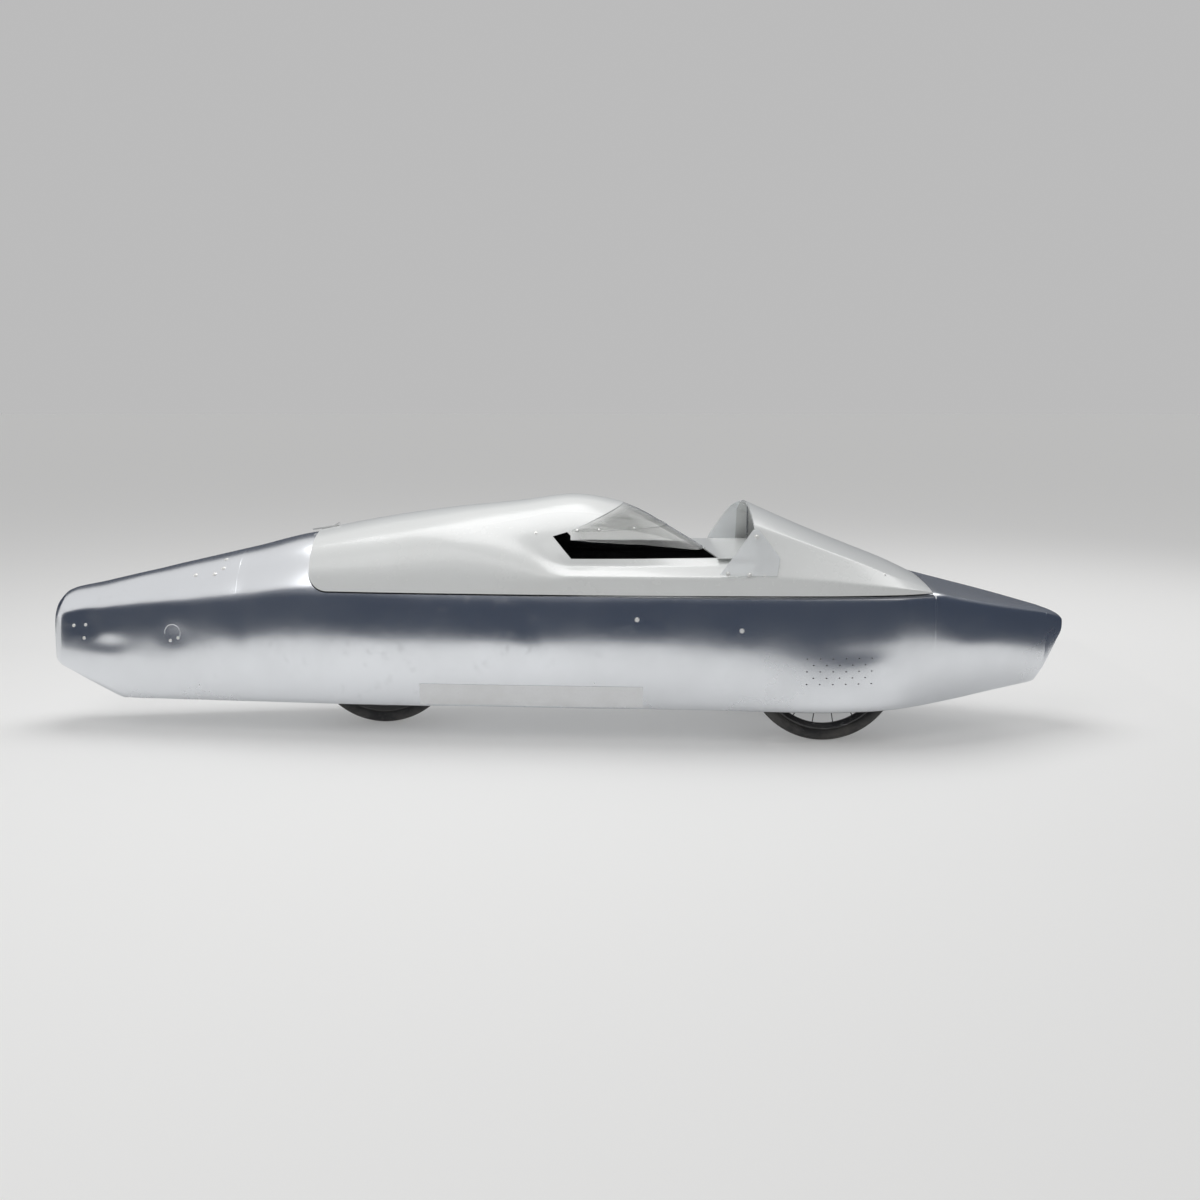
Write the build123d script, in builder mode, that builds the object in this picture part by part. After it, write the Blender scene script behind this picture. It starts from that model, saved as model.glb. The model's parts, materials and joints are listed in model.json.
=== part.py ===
from build123d import *
import math
import os

# A streamlined three-wheeled velomobile, in millimetres: beaten aluminium body, white lid with a clear
# head bubble and a raised hood, two steered wheels in front and one wheel behind.
# +X is forward, +Y is the vehicle's left, +Z is up. The origin is on the floor, below the middle.

# Body shell, and the half width and overshoot of the blocks that cut it
TAIL_X = -1650.0
TIP_X = 1650.0
FLOOR_Z = 105.0
RIM_Z = 472.0
WALL = 6.0
FLANGE = 24.0
OPENING_HEIGHT = 400.0
TAIL_JOINT_X = -1020.0
TAIL_SLOPE_X = -1420.0
TAIL_SLOPE_TOP_Z = 229.0
CAP_X = 1570.0
CUT_HALF = 500.0
CUT_SPARE = 5.0

# Lid, and the levels below and above all of it
LID_GAP = 5.0
LID_REAR_X = -785.0
LID_FRONT_X = 1150.0
HOOD_REAR_X = 600.0
LID_WALL = 5.0
LID_LOW_Z = 427.0
LID_HIGH_Z = 900.0
SILL_Z = 579.0
STRIP_X = 38.0
CORNER_R = 62.0
SEAT_GAP = 0.3

# Wheels
FRONT_X = 830.0
REAR_X = -587.0
HALF_TRACK = 240.0
WHEEL_R = 240.0
TYRE_WIDTH = 42.0
TYRE_HEIGHT = 36.0
# drop from the tread's crown, half width
TYRE_PROFILE = ((TYRE_HEIGHT, 12), (24, TYRE_WIDTH / 2), (12, 20), (3, 12), (0, 4))
RIM_WIDTH = 26.0
RIM_DEPTH = 18.0
RIM_EDGE = 5.0
HUB_R = 21.0
HUB_FLANGE_RISE = 6.0
HUB_FLANGE_HALF = 2.0
AXLE_R = 8.0
BORE_CLEARANCE = 0.05
SPOKES = 18
SPOKE_R = 1.6
BARREL_HUB_R = 14.0
FRONT_HUB_HALF = 26.0
REAR_HUB_HALF = 50.0
FRONT_FLANGE_Y = 18.0
REAR_FLANGE_Y = 30.0
HUB_GAP = 2.0

# Steering
KINGPIN_Y = 168.0
KINGPIN_R = 8.0
BARREL_R = 15.0
BARREL_HEIGHT = 48.0
EAR = 8.0
EAR_GAP = 5.0
BEAM_R = 18.0
BEAM_HALF = 136.0
POST_BOSS = 5.0
POST_SPARE = 18.0
STUB_SPARE = 4.0
STUB_CAP_RISE = 4.0
SHOULDER_RISE = 3.0
PIN_SPARE = 3.0
ARM_LENGTH = 105.0
ARM_WIDTH = 14.0
ARM_THICKNESS = 8.0
TIE_R = 5.0
TIE_Z = 204.0
TIE_EYE = 12.0
TIE_EYE_R = 9.0
TIE_PIN_R = 4.0
TILLER_BARREL = 40.0
COLUMN_R = 9.0
BAR_X = 560.0
BAR_Z = 410.0
BAR_R = 11.0
BAR_HALF = 130.0
GRIP_R = 15.0
GRIP_LENGTH = 90.0

# Chassis
RAIL_Y = 118.0
RAIL_WIDTH = 30.0
RAIL_HEIGHT = 36.0
BEAM = 30.0
RAIL_REAR_X = -880.0
RAIL_FRONT_X = 960.0
RAIL_WALL = 2.5
FORK_Y = 66.0
FORK_FRONT_X = -317.0
FORK_REAR_X = -859.0
PLATE = 6.0
FORK_EYE = 26.0
FORK_HOLE_X = 105.0
FORK_HOLE_DROP = 34.0
FORK_HOLE_R = 16.0
SPINDLE_SPARE = 8.0

# Seat, hoop and bulkhead
SEAT_SHELL = 6.0
SEAT_HALF = 180.0
SEAT_FRONT_X = 590.0
SEAT_HIP_X = 330.0
SEAT_TOP_X = -58.5
SEAT_TOP_Z = 540.0
SEAT_BEND_R = 90.0
SEAT_LIP_LENGTH = 100.0
SEAT_LIP_RISE = 30.0
PAD = 26.0
PAD_MARGIN = 20.0
PAD_CORNER_R = 30.0
BACK_PAD_LENGTH = 400.0
BACK_PAD_DROP = 10.0
BASE_PAD_LENGTH = 70.0
BASE_PAD_START = 45.0
HOOP_X = -75.0
HOOP_R = 14.0
HOOP_TOP_Z = 698.0
HEAD_REST_Z = 625.0
HEAD_REST_HEIGHT = 90.0
HEAD_REST_CORNER_R = 24.0
HEAD_REST_SPARE = 10.0
HOOP_SHOULDER = 8.0
BULKHEAD_X = -112.0
BULKHEAD_THICKNESS = 6.0

# Drive
DRIVE_X = -215.0
DRIVE_Y = -125.0
DRIVE_LENGTH = 150.0
DRIVE_WIDTH = 130.0
DRIVE_HEIGHT = 170.0
DRIVE_PLATE_LENGTH = 170.0
SHAFT_R = 9.0
SHAFT_SPARE = 6.0
SPROCKET_Y = -41.0
SPROCKET_WIDTH = 3.0
SMALL_SPROCKET_R = 22.0
LARGE_SPROCKET_R = 73.0
SPROCKET_HOLES = 5
SPROCKET_HOLE_R = 13.0
SPROCKET_HOLE_RING_R = 45.0
CHAIN_HALF_HEIGHT = 4.5
CHAIN_PLATE = 1.5
CHAIN_PLATE_GAP = 0.75

os.makedirs("parts", exist_ok=True)


def write(part, name):
    """Label one finished piece and write its STEP file."""
    part.label = name
    export_step(part, f"parts/{name}.step")


# Body skin

# x, y, length, width, corner radius of the floor's wheel slots, which leave room for the steered wheels
WHEEL_SLOTS = (
    (FRONT_X, HALF_TRACK - 4, 444, 128, 18),
    (FRONT_X, 4 - HALF_TRACK, 444, 128, 18),
    (REAR_X, 0, 430, 74, 36),
)

# x, floor_y, floor_z, mid_y, mid_z, rim_y, rim_z, top_z
BODY_SECTIONS = (
    (TAIL_X, 62, 190, 78, 290, 68, 362, 405),
    (-1612, 95, 95, 118, 272, 107, 380, 450),
    (-785, 207, 95, 256, 310, 248, RIM_Z, 637),
    (-500, 240, 95, 296, 315, 286, RIM_Z, 655),
    (-200, 263, 95, 326, 320, 316, RIM_Z, 660),
    (100, 285, 95, 347, 320, 338, RIM_Z, 655),
    (400, 308, 95, 364, 320, 354, RIM_Z, 638),
    (650, 340, 95, 373, 320, 360, RIM_Z, 616),
    (820, 360, 95, 372, 320, 357, RIM_Z, 600),
    (940, 345, 96, 362, 320, 349, RIM_Z, 580),
    (1040, 310, 99, 343, 320, 335, RIM_Z, 552),
    (LID_FRONT_X + LID_GAP, 240, 106, 304, 318, 297, RIM_Z, 500),
    (1260, 188, 115, 257, 309, 250, 449, 474),
    (1370, 138, 128, 205, 300, 200, 423, 447),
    (1470, 95, 140, 152, 290, 147, 402, 420),
    (CAP_X, 52, 152, 96, 280, 92, 382, 392),
)

# x, floor_y, floor_z, mid_y, mid_z, rim_y, rim_z, top_z
CAP_SECTIONS = (
    BODY_SECTIONS[-1],
    (1625, 30, 272, 56, 318, 52, 362, 370),
    (TIP_X, 12, 322, 22, 333, 20, 345, 350),
)


def body_face(row, inset):
    """One closed cross-section of the body, moved inward by inset."""
    x, floor_y, floor_z, mid_y, mid_z, rim_y, rim_z, top_z = row
    low = (floor_y - inset, floor_z + inset)
    middle = (mid_y - inset, mid_z)
    rim = (rim_y - inset, rim_z - 0.3 * inset)
    with BuildSketch(Plane.YZ.offset(x)) as section:
        with BuildLine():
            Line(low, (-low[0], low[1]))
            ThreePointArc(low, middle, rim)
            ThreePointArc((-low[0], low[1]), (-middle[0], middle[1]), (-rim[0], rim[1]))
            ThreePointArc(rim, (0, top_z - inset), (-rim[0], rim[1]))
        make_face()
    return section.sketch


def body_solid(inset):
    """The whole body from the tail to the nose cap, as one solid with its skin moved inward by inset."""
    slope = math.atan2(TAIL_SLOPE_TOP_Z - FLOOR_Z, TAIL_SLOPE_X - TAIL_X)
    slope_plane = Plane(
        origin=(TAIL_SLOPE_X, 0, FLOOR_Z + inset / math.cos(slope)),
        x_dir=(0, 1, 0),
        z_dir=(math.sin(slope), 0, math.cos(slope)),
    )
    with BuildPart() as body:
        loft([body_face(row, inset) for row in BODY_SECTIONS], ruled=True)
        split(bisect_by=Plane.XY.offset(FLOOR_Z + inset), keep=Keep.TOP)
        split(bisect_by=slope_plane, keep=Keep.TOP)
        if inset:
            split(bisect_by=Plane.YZ.offset(TAIL_X + inset), keep=Keep.TOP)
    return body.part


outer_body = body_solid(0)
inner_body = body_solid(WALL)
flange_body = body_solid(WALL + FLANGE)

with BuildPart() as skin:
    add(outer_body)
    add(inner_body, mode=Mode.SUBTRACT)

NOSE_JOINT_X = LID_FRONT_X + LID_GAP
opening_length = NOSE_JOINT_X - LID_REAR_X
opening_middle = (NOSE_JOINT_X + LID_REAR_X) / 2

with BuildPart() as hull_tail:
    add(skin.part)
    split(bisect_by=Plane.YZ.offset(TAIL_JOINT_X), keep=Keep.BOTTOM)
write(hull_tail.part, "hull_tail")

with BuildPart() as hull_nose:
    add(skin.part)
    split(bisect_by=Plane.YZ.offset(NOSE_JOINT_X), keep=Keep.TOP)
write(hull_nose.part, "hull_nose")

with BuildPart() as rim_flange:
    add(outer_body)
    add(flange_body, mode=Mode.SUBTRACT)
    split(bisect_by=Plane.XY.offset(RIM_Z - WALL), keep=Keep.TOP)
    split(bisect_by=Plane.XY.offset(RIM_Z), keep=Keep.BOTTOM)
    split(bisect_by=Plane.YZ.offset(LID_REAR_X), keep=Keep.TOP)
    split(bisect_by=Plane.YZ.offset(NOSE_JOINT_X), keep=Keep.BOTTOM)

with BuildPart() as hull_tub:
    add(skin.part)
    split(bisect_by=Plane.YZ.offset(TAIL_JOINT_X), keep=Keep.TOP)
    split(bisect_by=Plane.YZ.offset(NOSE_JOINT_X), keep=Keep.BOTTOM)
    with BuildSketch(Plane.XZ.offset(-CUT_HALF)):
        with Locations((opening_middle, RIM_Z + OPENING_HEIGHT / 2)):
            Rectangle(opening_length, OPENING_HEIGHT)
        with Locations((LID_REAR_X + CORNER_R / 2, RIM_Z + CORNER_R / 2)):
            Rectangle(CORNER_R, CORNER_R, mode=Mode.SUBTRACT)
        with Locations((LID_REAR_X + CORNER_R, RIM_Z + CORNER_R)):
            Circle(CORNER_R)
    extrude(amount=2 * CUT_HALF, mode=Mode.SUBTRACT)
    add(rim_flange.part)
    for slot_x, slot_y, slot_length, slot_width, corner_r in WHEEL_SLOTS:
        with BuildSketch(Plane.XY.offset(FLOOR_Z - CUT_SPARE)):
            with Locations((slot_x, slot_y)):
                RectangleRounded(slot_length, slot_width, corner_r)
        extrude(amount=WALL + 2 * CUT_SPARE, mode=Mode.SUBTRACT)
write(hull_tub.part, "hull_tub")

with BuildPart() as nose_cap:
    loft([body_face(row, 0) for row in CAP_SECTIONS], ruled=True)
write(nose_cap.part, "nose_cap")

# Lid: rear fairing with the side strips along the opening

LID_BASE_Z = RIM_Z + LID_GAP

# x, side_y, strip_y, strip_z, haunch_y, haunch_z, bulge, crest_z
FAIRING_SECTIONS = (
    (LID_REAR_X + LID_GAP, 248, 246, 505, 176, 606, 18, 646),
    (-560, 278, 276, 507, 190, 637, 21, 687),
    (-350, 300, 298, 510, 208, 662, 23, 717),
    (-133, 320, 317, 521, 240, 622, 12, 739),
    (STRIP_X, 332, 328, 533, 273, 558, 1, 759),
    (215, 343, 339, 533, 279, 558, 1, 730),
)
STRIP_SECTIONS = (
    FAIRING_SECTIONS[4],
    (330, 349, 345, 533, 282, 558, 1, 752),
    (HOOD_REAR_X, 356, 352, 533, 284, 558, 1, 736),
)


def bulged(start, end, bulge):
    """The middle point of an arc from start to end that bows outward by bulge."""
    run_y = end[0] - start[0]
    run_z = end[1] - start[1]
    length = math.hypot(run_y, run_z)
    middle_y = (start[0] + end[0]) / 2
    middle_z = (start[1] + end[1]) / 2
    return (middle_y + bulge * run_z / length, middle_z - bulge * run_y / length)


def mirrored(point):
    """The same point on the right-hand side."""
    return (-point[0], point[1])


def lid_face(row, inset):
    """One closed cross-section of the lid, moved inward by inset and open below when it is inset."""
    x, side_y, strip_y, strip_z, haunch_y, haunch_z, bulge, crest_z = row
    base = (side_y - inset, LID_BASE_Z - inset)
    strip = (strip_y - inset, strip_z - 0.6 * inset)
    haunch = (haunch_y - inset, haunch_z - inset)
    shoulder = bulged(strip, haunch, bulge)
    with BuildSketch(Plane.YZ.offset(x)) as section:
        with BuildLine():
            Line(base, mirrored(base))
            Line(base, strip)
            ThreePointArc(strip, shoulder, haunch)
            ThreePointArc(haunch, (0, crest_z - inset), mirrored(haunch))
            ThreePointArc(mirrored(strip), mirrored(shoulder), mirrored(haunch))
            Line(mirrored(base), mirrored(strip))
        make_face()
    return section.sketch


# The opening in the lid, seen from the side: sill, slanted rear corner, rim and the bubble's rear edge
OPENING_TOP = (-20.0, 645.0)
RIM_START = (40.0, 662.0)
BUBBLE_TOP = (215.0, 738.0)

with BuildPart() as side_strips:
    loft([lid_face(row, 0) for row in STRIP_SECTIONS], ruled=True)
    loft([lid_face(row, LID_WALL) for row in STRIP_SECTIONS], ruled=True, mode=Mode.SUBTRACT)
    split(bisect_by=Plane.XY.offset(SILL_Z), keep=Keep.BOTTOM)

with BuildPart() as lid_form:
    loft([lid_face(row, 0) for row in FAIRING_SECTIONS], ruled=True)

with BuildPart() as lid_shell:
    add(lid_form.part)
    loft([lid_face(row, LID_WALL) for row in FAIRING_SECTIONS], ruled=True, mode=Mode.SUBTRACT)
    with BuildSketch(Plane.XZ.offset(-CUT_HALF)):
        with BuildLine():
            Polyline(
                (STRIP_X, LID_LOW_Z),
                (STRIP_X, SILL_Z),
                OPENING_TOP,
                RIM_START,
                BUBBLE_TOP,
                (BUBBLE_TOP[0] + CORNER_R, LID_HIGH_Z),
                (HOOD_REAR_X, LID_HIGH_Z),
                (HOOD_REAR_X, LID_LOW_Z),
                close=True,
            )
        make_face()
        with Locations((LID_REAR_X + CORNER_R / 2, LID_BASE_Z + CORNER_R / 2)):
            Rectangle(CORNER_R, CORNER_R)
        with Locations((LID_REAR_X + CORNER_R, RIM_Z + CORNER_R)):
            Circle(CORNER_R - LID_GAP, mode=Mode.SUBTRACT)
    extrude(amount=2 * CUT_HALF, mode=Mode.SUBTRACT)
    add(side_strips.part)
write(lid_shell.part, "lid_shell")

# Hood

# x, side_y, strip_y, strip_z, ridge_y, ridge_z, crest_z
HOOD_SECTIONS = (
    (480, 355, 351, 536, 286, 728, 790),
    (786, 357, 353, 525, 266, 619, 654),
    (940, 348, 345, 510, 263, 562, 592),
    (1058, 331, 329, 496, 262, 516, 545),
    (LID_FRONT_X - 2, 298, 297, 482, 262, 487, 502),
)


def hood_face(row, outset):
    """One closed cross-section of the hood, moved outward by outset and open below when it is inset."""
    x, side_y, strip_y, strip_z, ridge_y, ridge_z, crest_z = row
    base = (side_y + outset, LID_BASE_Z + min(outset, 0))
    strip = (strip_y + outset, strip_z + 0.3 * outset)
    ridge = (ridge_y + outset, ridge_z + 0.8 * outset)
    with BuildSketch(Plane.YZ.offset(x)) as section:
        with BuildLine():
            Line(base, mirrored(base))
            Line(base, strip)
            Line(strip, ridge)
            ThreePointArc(ridge, (0, crest_z + outset), mirrored(ridge))
            Line(mirrored(strip), mirrored(ridge))
            Line(mirrored(base), mirrored(strip))
        make_face()
    return section.sketch


def hood_solid(outset):
    """The hood's outline as one solid, moved outward by outset."""
    with BuildPart() as hood:
        loft([hood_face(row, outset) for row in HOOD_SECTIONS], ruled=True)
    return hood.part


hood_skin = hood_solid(0)

with BuildPart() as hood_cowl:
    add(hood_skin)
    add(hood_solid(-LID_WALL), mode=Mode.SUBTRACT)
    split(bisect_by=Plane.YZ.offset(HOOD_REAR_X), keep=Keep.TOP)
write(hood_cowl.part, "hood_cowl")

# Clear head bubble, turned about a fore-and-aft axis, with a skirt that comes down over the side openings

DASH_THICKNESS = 4.0
DASH_TOP_Z = SILL_Z + SEAT_GAP + DASH_THICKNESS
BUBBLE_AXIS_Z = 473.0
BUBBLE_WALL = 3.0
BUBBLE_CREST = ((38.0, 759.0), (208.0, 729.0), (306.0, 682.0))
BUBBLE_FRONT = (480.0, 578.0)
SKIRT_REAR_Z = 634.0
SKIRT_MIDDLE = (258.0, 615.0)
SKIRT_FRONT_X = 440.0
RIM_END = (370.0, 665.0)
RIM_STRIP = 8.0
RIM_STRIP_WALL = 2.0


def bubble_form(inset):
    """The bubble's round form, with its skin moved inward by inset."""
    points = [(x, z - inset) for x, z in (*BUBBLE_CREST, BUBBLE_FRONT)]
    with BuildPart() as form:
        with BuildSketch(Plane.XZ):
            with BuildLine():
                ThreePointArc(*points[:3])
                Polyline(
                    *points[2:],
                    (BUBBLE_FRONT[0], BUBBLE_AXIS_Z),
                    (points[0][0], BUBBLE_AXIS_Z),
                    points[0],
                )
            make_face()
        revolve(axis=Axis((0, 0, BUBBLE_AXIS_Z), (1, 0, 0)))
    return form.part


BUBBLE_REAR_RUN = BUBBLE_TOP[0] - RIM_START[0]
BUBBLE_REAR_RISE = BUBBLE_TOP[1] - RIM_START[1]


def bubble_outline(*lower_edge):
    """The bubble's side view as a slab: the lower edge from rear to front, and the lid's slanted edge behind."""
    top_z = RIM_START[1] + 2 * BUBBLE_REAR_RISE
    with BuildPart() as slab:
        with BuildSketch(Plane.XZ.offset(-CUT_HALF)):
            with BuildLine():
                Polyline(
                    *lower_edge,
                    (lower_edge[-1][0] + BUBBLE_REAR_RUN, top_z),
                    (RIM_START[0] + SEAT_GAP + 2 * BUBBLE_REAR_RUN, top_z),
                    close=True,
                )
            make_face()
        extrude(amount=2 * CUT_HALF)
    return slab.part


def rim_line(lift):
    """The two ends of the seam between bubble and skirt, raised by lift."""
    rear_x = RIM_START[0] + SEAT_GAP + lift * BUBBLE_REAR_RUN / BUBBLE_REAR_RISE
    return (rear_x, RIM_START[1] + lift), (RIM_END[0], RIM_END[1] + lift)


with BuildPart() as head_bubble:
    add(bubble_form(0))
    add(bubble_form(BUBBLE_WALL), mode=Mode.SUBTRACT)
    add(
        bubble_outline(
            rim_line(0)[0],
            (RIM_START[0] + SEAT_GAP, SKIRT_REAR_Z),
            SKIRT_MIDDLE,
            (SKIRT_FRONT_X, DASH_TOP_Z + SEAT_GAP),
            (BUBBLE_FRONT[0], DASH_TOP_Z + SEAT_GAP),
        ),
        mode=Mode.INTERSECT,
    )
write(head_bubble.part, "head_bubble")

# Strip over the seam between bubble and skirt, outside the clear sheet
with BuildPart() as bubble_rim:
    add(bubble_form(-SEAT_GAP - RIM_STRIP_WALL))
    add(bubble_form(-SEAT_GAP), mode=Mode.SUBTRACT)
    add(bubble_outline(*rim_line(-RIM_STRIP / 2)), mode=Mode.INTERSECT)
    add(bubble_outline(*rim_line(RIM_STRIP / 2)), mode=Mode.SUBTRACT)
write(bubble_rim.part, "bubble_rim")

# Panel in the hood's mouth: its rear edge runs askew, farther back on the left, and carries the bubble's tip

DASH_REAR_LEFT_X = 436.0
DASH_REAR_RIGHT_X = 492.0
DASH_FRONT_X = 660.0
DASH_HALF_WIDTH = 268.0

with BuildPart() as dash_shelf:
    with BuildSketch(Plane.XY.offset(SILL_Z + SEAT_GAP)):
        with BuildLine():
            Polyline(
                (DASH_REAR_LEFT_X, DASH_HALF_WIDTH),
                (DASH_FRONT_X, DASH_HALF_WIDTH),
                (DASH_FRONT_X, -DASH_HALF_WIDTH),
                (DASH_REAR_RIGHT_X, -DASH_HALF_WIDTH),
                close=True,
            )
        make_face()
    extrude(amount=DASH_THICKNESS)
write(dash_shelf.part, "dash_shelf")

PROP_R = 3.0
PROP_X = HOOD_REAR_X + 8.0

with BuildPart() as hood_prop:
    with BuildSketch(Plane.XY.offset(DASH_TOP_Z + SEAT_GAP)):
        with Locations((PROP_X, 0)):
            Circle(PROP_R)
    extrude(until=Until.NEXT, target=hood_cowl.part)
write(hood_prop.part, "hood_prop")

# Clear patches outside the hood's cheeks: three-cornered on the right, up to the mouth's top on the left

GUSSET_WALL = 2.5
GUSSET_FOOT = ((664.0, 538.0), (490.0, 541.0))
GUSSET_RIGHT = (*GUSSET_FOOT, (596.0, 672.0), (614.0, 672.0), (676.0, 590.0))
GUSSET_LEFT = (*GUSSET_FOOT, (508.0, 588.0), (561.0, 673.0), (598.0, 722.0), (616.0, 716.0), (676.0, 590.0))

for side, name, outline in ((1, "gusset_left", GUSSET_LEFT), (-1, "gusset_right", GUSSET_RIGHT)):
    with BuildPart() as gusset:
        add(hood_solid(SEAT_GAP + GUSSET_WALL))
        add(hood_solid(SEAT_GAP), mode=Mode.SUBTRACT)
        with BuildSketch(Plane.XZ):
            with BuildLine():
                Polyline(*outline, close=True)
            make_face()
        extrude(amount=-CUT_HALF * side, mode=Mode.INTERSECT)
    write(gusset.part, name)

# Catch on the lid's rear crest, reaching over the deck
LATCH_WIDTH = 34.0
LATCH_THICKNESS = 5.0
LATCH_BEND_R = 5.0
LATCH_REACH = 22.0
LATCH_Z = 644.5

with BuildPart() as lid_latch:
    with BuildSketch(Plane.XZ):
        with BuildLine():
            path = FilletPolyline(
                (LID_REAR_X - LATCH_REACH, LATCH_Z),
                (LID_REAR_X + 50, LATCH_Z + 12),
                (LID_REAR_X + 62, LATCH_Z + 19.5),
                radius=LATCH_BEND_R,
            )
        trace(path, line_width=LATCH_THICKNESS)
    extrude(amount=LATCH_WIDTH / 2, both=True)
    add(lid_form.part, mode=Mode.SUBTRACT)
write(lid_latch.part, "lid_latch")

# Hinges on the left: knuckles outside the rim, the pin fixed in the body's half

HINGE_XS = (150.0, 350.0, 550.0)
HINGE_Y = 366.0
HINGE_Z = RIM_Z + LID_GAP / 2
HINGE_R = 5.5
PIN_R = 2.5
HINGE_LENGTH = 60.0
HINGE_GAP = 0.5
LEAF_DEPTH = 14.0
LEAF_THICKNESS = 3.0
LEAF_REACH = 60.0

with BuildPart() as hull_hinges:
    for x in HINGE_XS:
        with BuildSketch(Plane.YZ.offset(x - HINGE_LENGTH / 2)):
            with Locations((HINGE_Y, HINGE_Z)):
                Circle(HINGE_R)
            with BuildLine():
                Polyline(
                    (HINGE_Y + HINGE_R, HINGE_Z),
                    (HINGE_Y + HINGE_R, RIM_Z - LEAF_DEPTH),
                    (HINGE_Y - LEAF_REACH, RIM_Z - LEAF_DEPTH),
                    (HINGE_Y - LEAF_REACH, HINGE_Z - LEAF_THICKNESS),
                    (HINGE_Y, HINGE_Z - LEAF_THICKNESS),
                    close=True,
                )
            make_face()
        extrude(amount=HINGE_LENGTH / 3 - HINGE_GAP)
    add(outer_body, mode=Mode.SUBTRACT)
    for x in HINGE_XS:
        with BuildSketch(Plane.YZ.offset(x - HINGE_LENGTH / 2)):
            with Locations((HINGE_Y, HINGE_Z)):
                Circle(PIN_R)
        extrude(amount=HINGE_LENGTH)
write(hull_hinges.part, "hull_hinges")

with BuildPart() as lid_hinges:
    for x in HINGE_XS:
        with BuildSketch(Plane.YZ.offset(x - HINGE_LENGTH / 6 + HINGE_GAP)):
            with Locations((HINGE_Y, HINGE_Z)):
                Circle(HINGE_R)
            with BuildLine():
                Polyline(
                    (HINGE_Y + HINGE_R, HINGE_Z),
                    (HINGE_Y + HINGE_R, LID_BASE_Z + LEAF_DEPTH),
                    (HINGE_Y - LEAF_REACH, LID_BASE_Z + LEAF_DEPTH),
                    (HINGE_Y - LEAF_REACH, HINGE_Z + LEAF_THICKNESS),
                    (HINGE_Y, HINGE_Z + LEAF_THICKNESS),
                    close=True,
                )
            make_face()
        extrude(amount=HINGE_LENGTH * 2 / 3 - HINGE_GAP)
    loft([lid_face(row, 0) for row in STRIP_SECTIONS], ruled=True, mode=Mode.SUBTRACT)
    for x in HINGE_XS:
        with Locations((x, HINGE_Y, HINGE_Z)):
            Cylinder(PIN_R + BORE_CLEARANCE, 2 * HINGE_LENGTH, rotation=(0, 90, 0), mode=Mode.SUBTRACT)
write(lid_hinges.part, "lid_hinges")

# Wheels


def wheel(x, y, prefix, half_hub, flange_y):
    """Write the tyre, rim and spoked hub of one wheel whose axle runs along Y."""
    axis = Axis((x, y, WHEEL_R), (0, 1, 0))
    across = Plane(origin=(x, y, WHEEL_R), x_dir=(0, 0, 1), z_dir=(1, 0, 0))
    bead_r = WHEEL_R - TYRE_HEIGHT
    rim_low_r = bead_r - RIM_DEPTH
    flange_r = HUB_R + HUB_FLANGE_RISE
    centre = Vector(x, y, WHEEL_R)

    with BuildPart() as tyre:
        with BuildSketch(across):
            with BuildLine():
                left_edge = [(WHEEL_R - drop, half_width) for drop, half_width in TYRE_PROFILE]
                right_edge = [(r, -half_width) for r, half_width in reversed(left_edge)]
                Polyline(*left_edge, *right_edge, close=True)
            make_face()
        revolve(axis=axis)
    write(tyre.part, f"{prefix}_tyre")

    with BuildPart() as rim:
        with BuildSketch(across):
            with BuildLine():
                Polyline(
                    (bead_r, RIM_WIDTH / 2),
                    (bead_r, -RIM_WIDTH / 2),
                    (bead_r - RIM_EDGE, -RIM_WIDTH / 2),
                    (rim_low_r, -RIM_EDGE),
                    (rim_low_r, RIM_EDGE),
                    (bead_r - RIM_EDGE, RIM_WIDTH / 2),
                    close=True,
                )
            make_face()
        revolve(axis=axis)
    write(rim.part, f"{prefix}_rim")

    with BuildPart() as hub:
        with BuildSketch(across):
            with BuildLine():
                Polyline(
                    (AXLE_R + BORE_CLEARANCE, half_hub),
                    (BARREL_HUB_R, half_hub),
                    (BARREL_HUB_R, flange_y + HUB_FLANGE_HALF),
                    (flange_r, flange_y + HUB_FLANGE_HALF),
                    (flange_r, flange_y - HUB_FLANGE_HALF),
                    (BARREL_HUB_R, flange_y - HUB_FLANGE_HALF),
                    (BARREL_HUB_R, -flange_y + HUB_FLANGE_HALF),
                    (flange_r, -flange_y + HUB_FLANGE_HALF),
                    (flange_r, -flange_y - HUB_FLANGE_HALF),
                    (BARREL_HUB_R, -flange_y - HUB_FLANGE_HALF),
                    (BARREL_HUB_R, -half_hub),
                    (AXLE_R + BORE_CLEARANCE, -half_hub),
                    close=True,
                )
            make_face()
        revolve(axis=axis)
        for number in range(SPOKES):
            turn = math.tau * number / SPOKES
            flange_side = flange_y if number % 2 else -flange_y
            inner = Vector(HUB_R * math.cos(turn), flange_side, HUB_R * math.sin(turn))
            spoke_r = rim_low_r - SEAT_GAP
            outer = Vector(spoke_r * math.cos(turn), 0, spoke_r * math.sin(turn))
            with BuildSketch(Plane(origin=centre + inner, z_dir=outer - inner)):
                RegularPolygon(SPOKE_R, 6)
            extrude(amount=(outer - inner).length)
    write(hub.part, f"{prefix}_hub")


wheel(FRONT_X, HALF_TRACK, "front_left", FRONT_HUB_HALF, FRONT_FLANGE_Y)
wheel(FRONT_X, -HALF_TRACK, "front_right", FRONT_HUB_HALF, FRONT_FLANGE_Y)
wheel(REAR_X, 0, "rear", REAR_HUB_HALF, REAR_FLANGE_Y)

# Floor rails

RAIL_TOP = FLOOR_Z + WALL + SEAT_GAP + RAIL_HEIGHT

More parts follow.
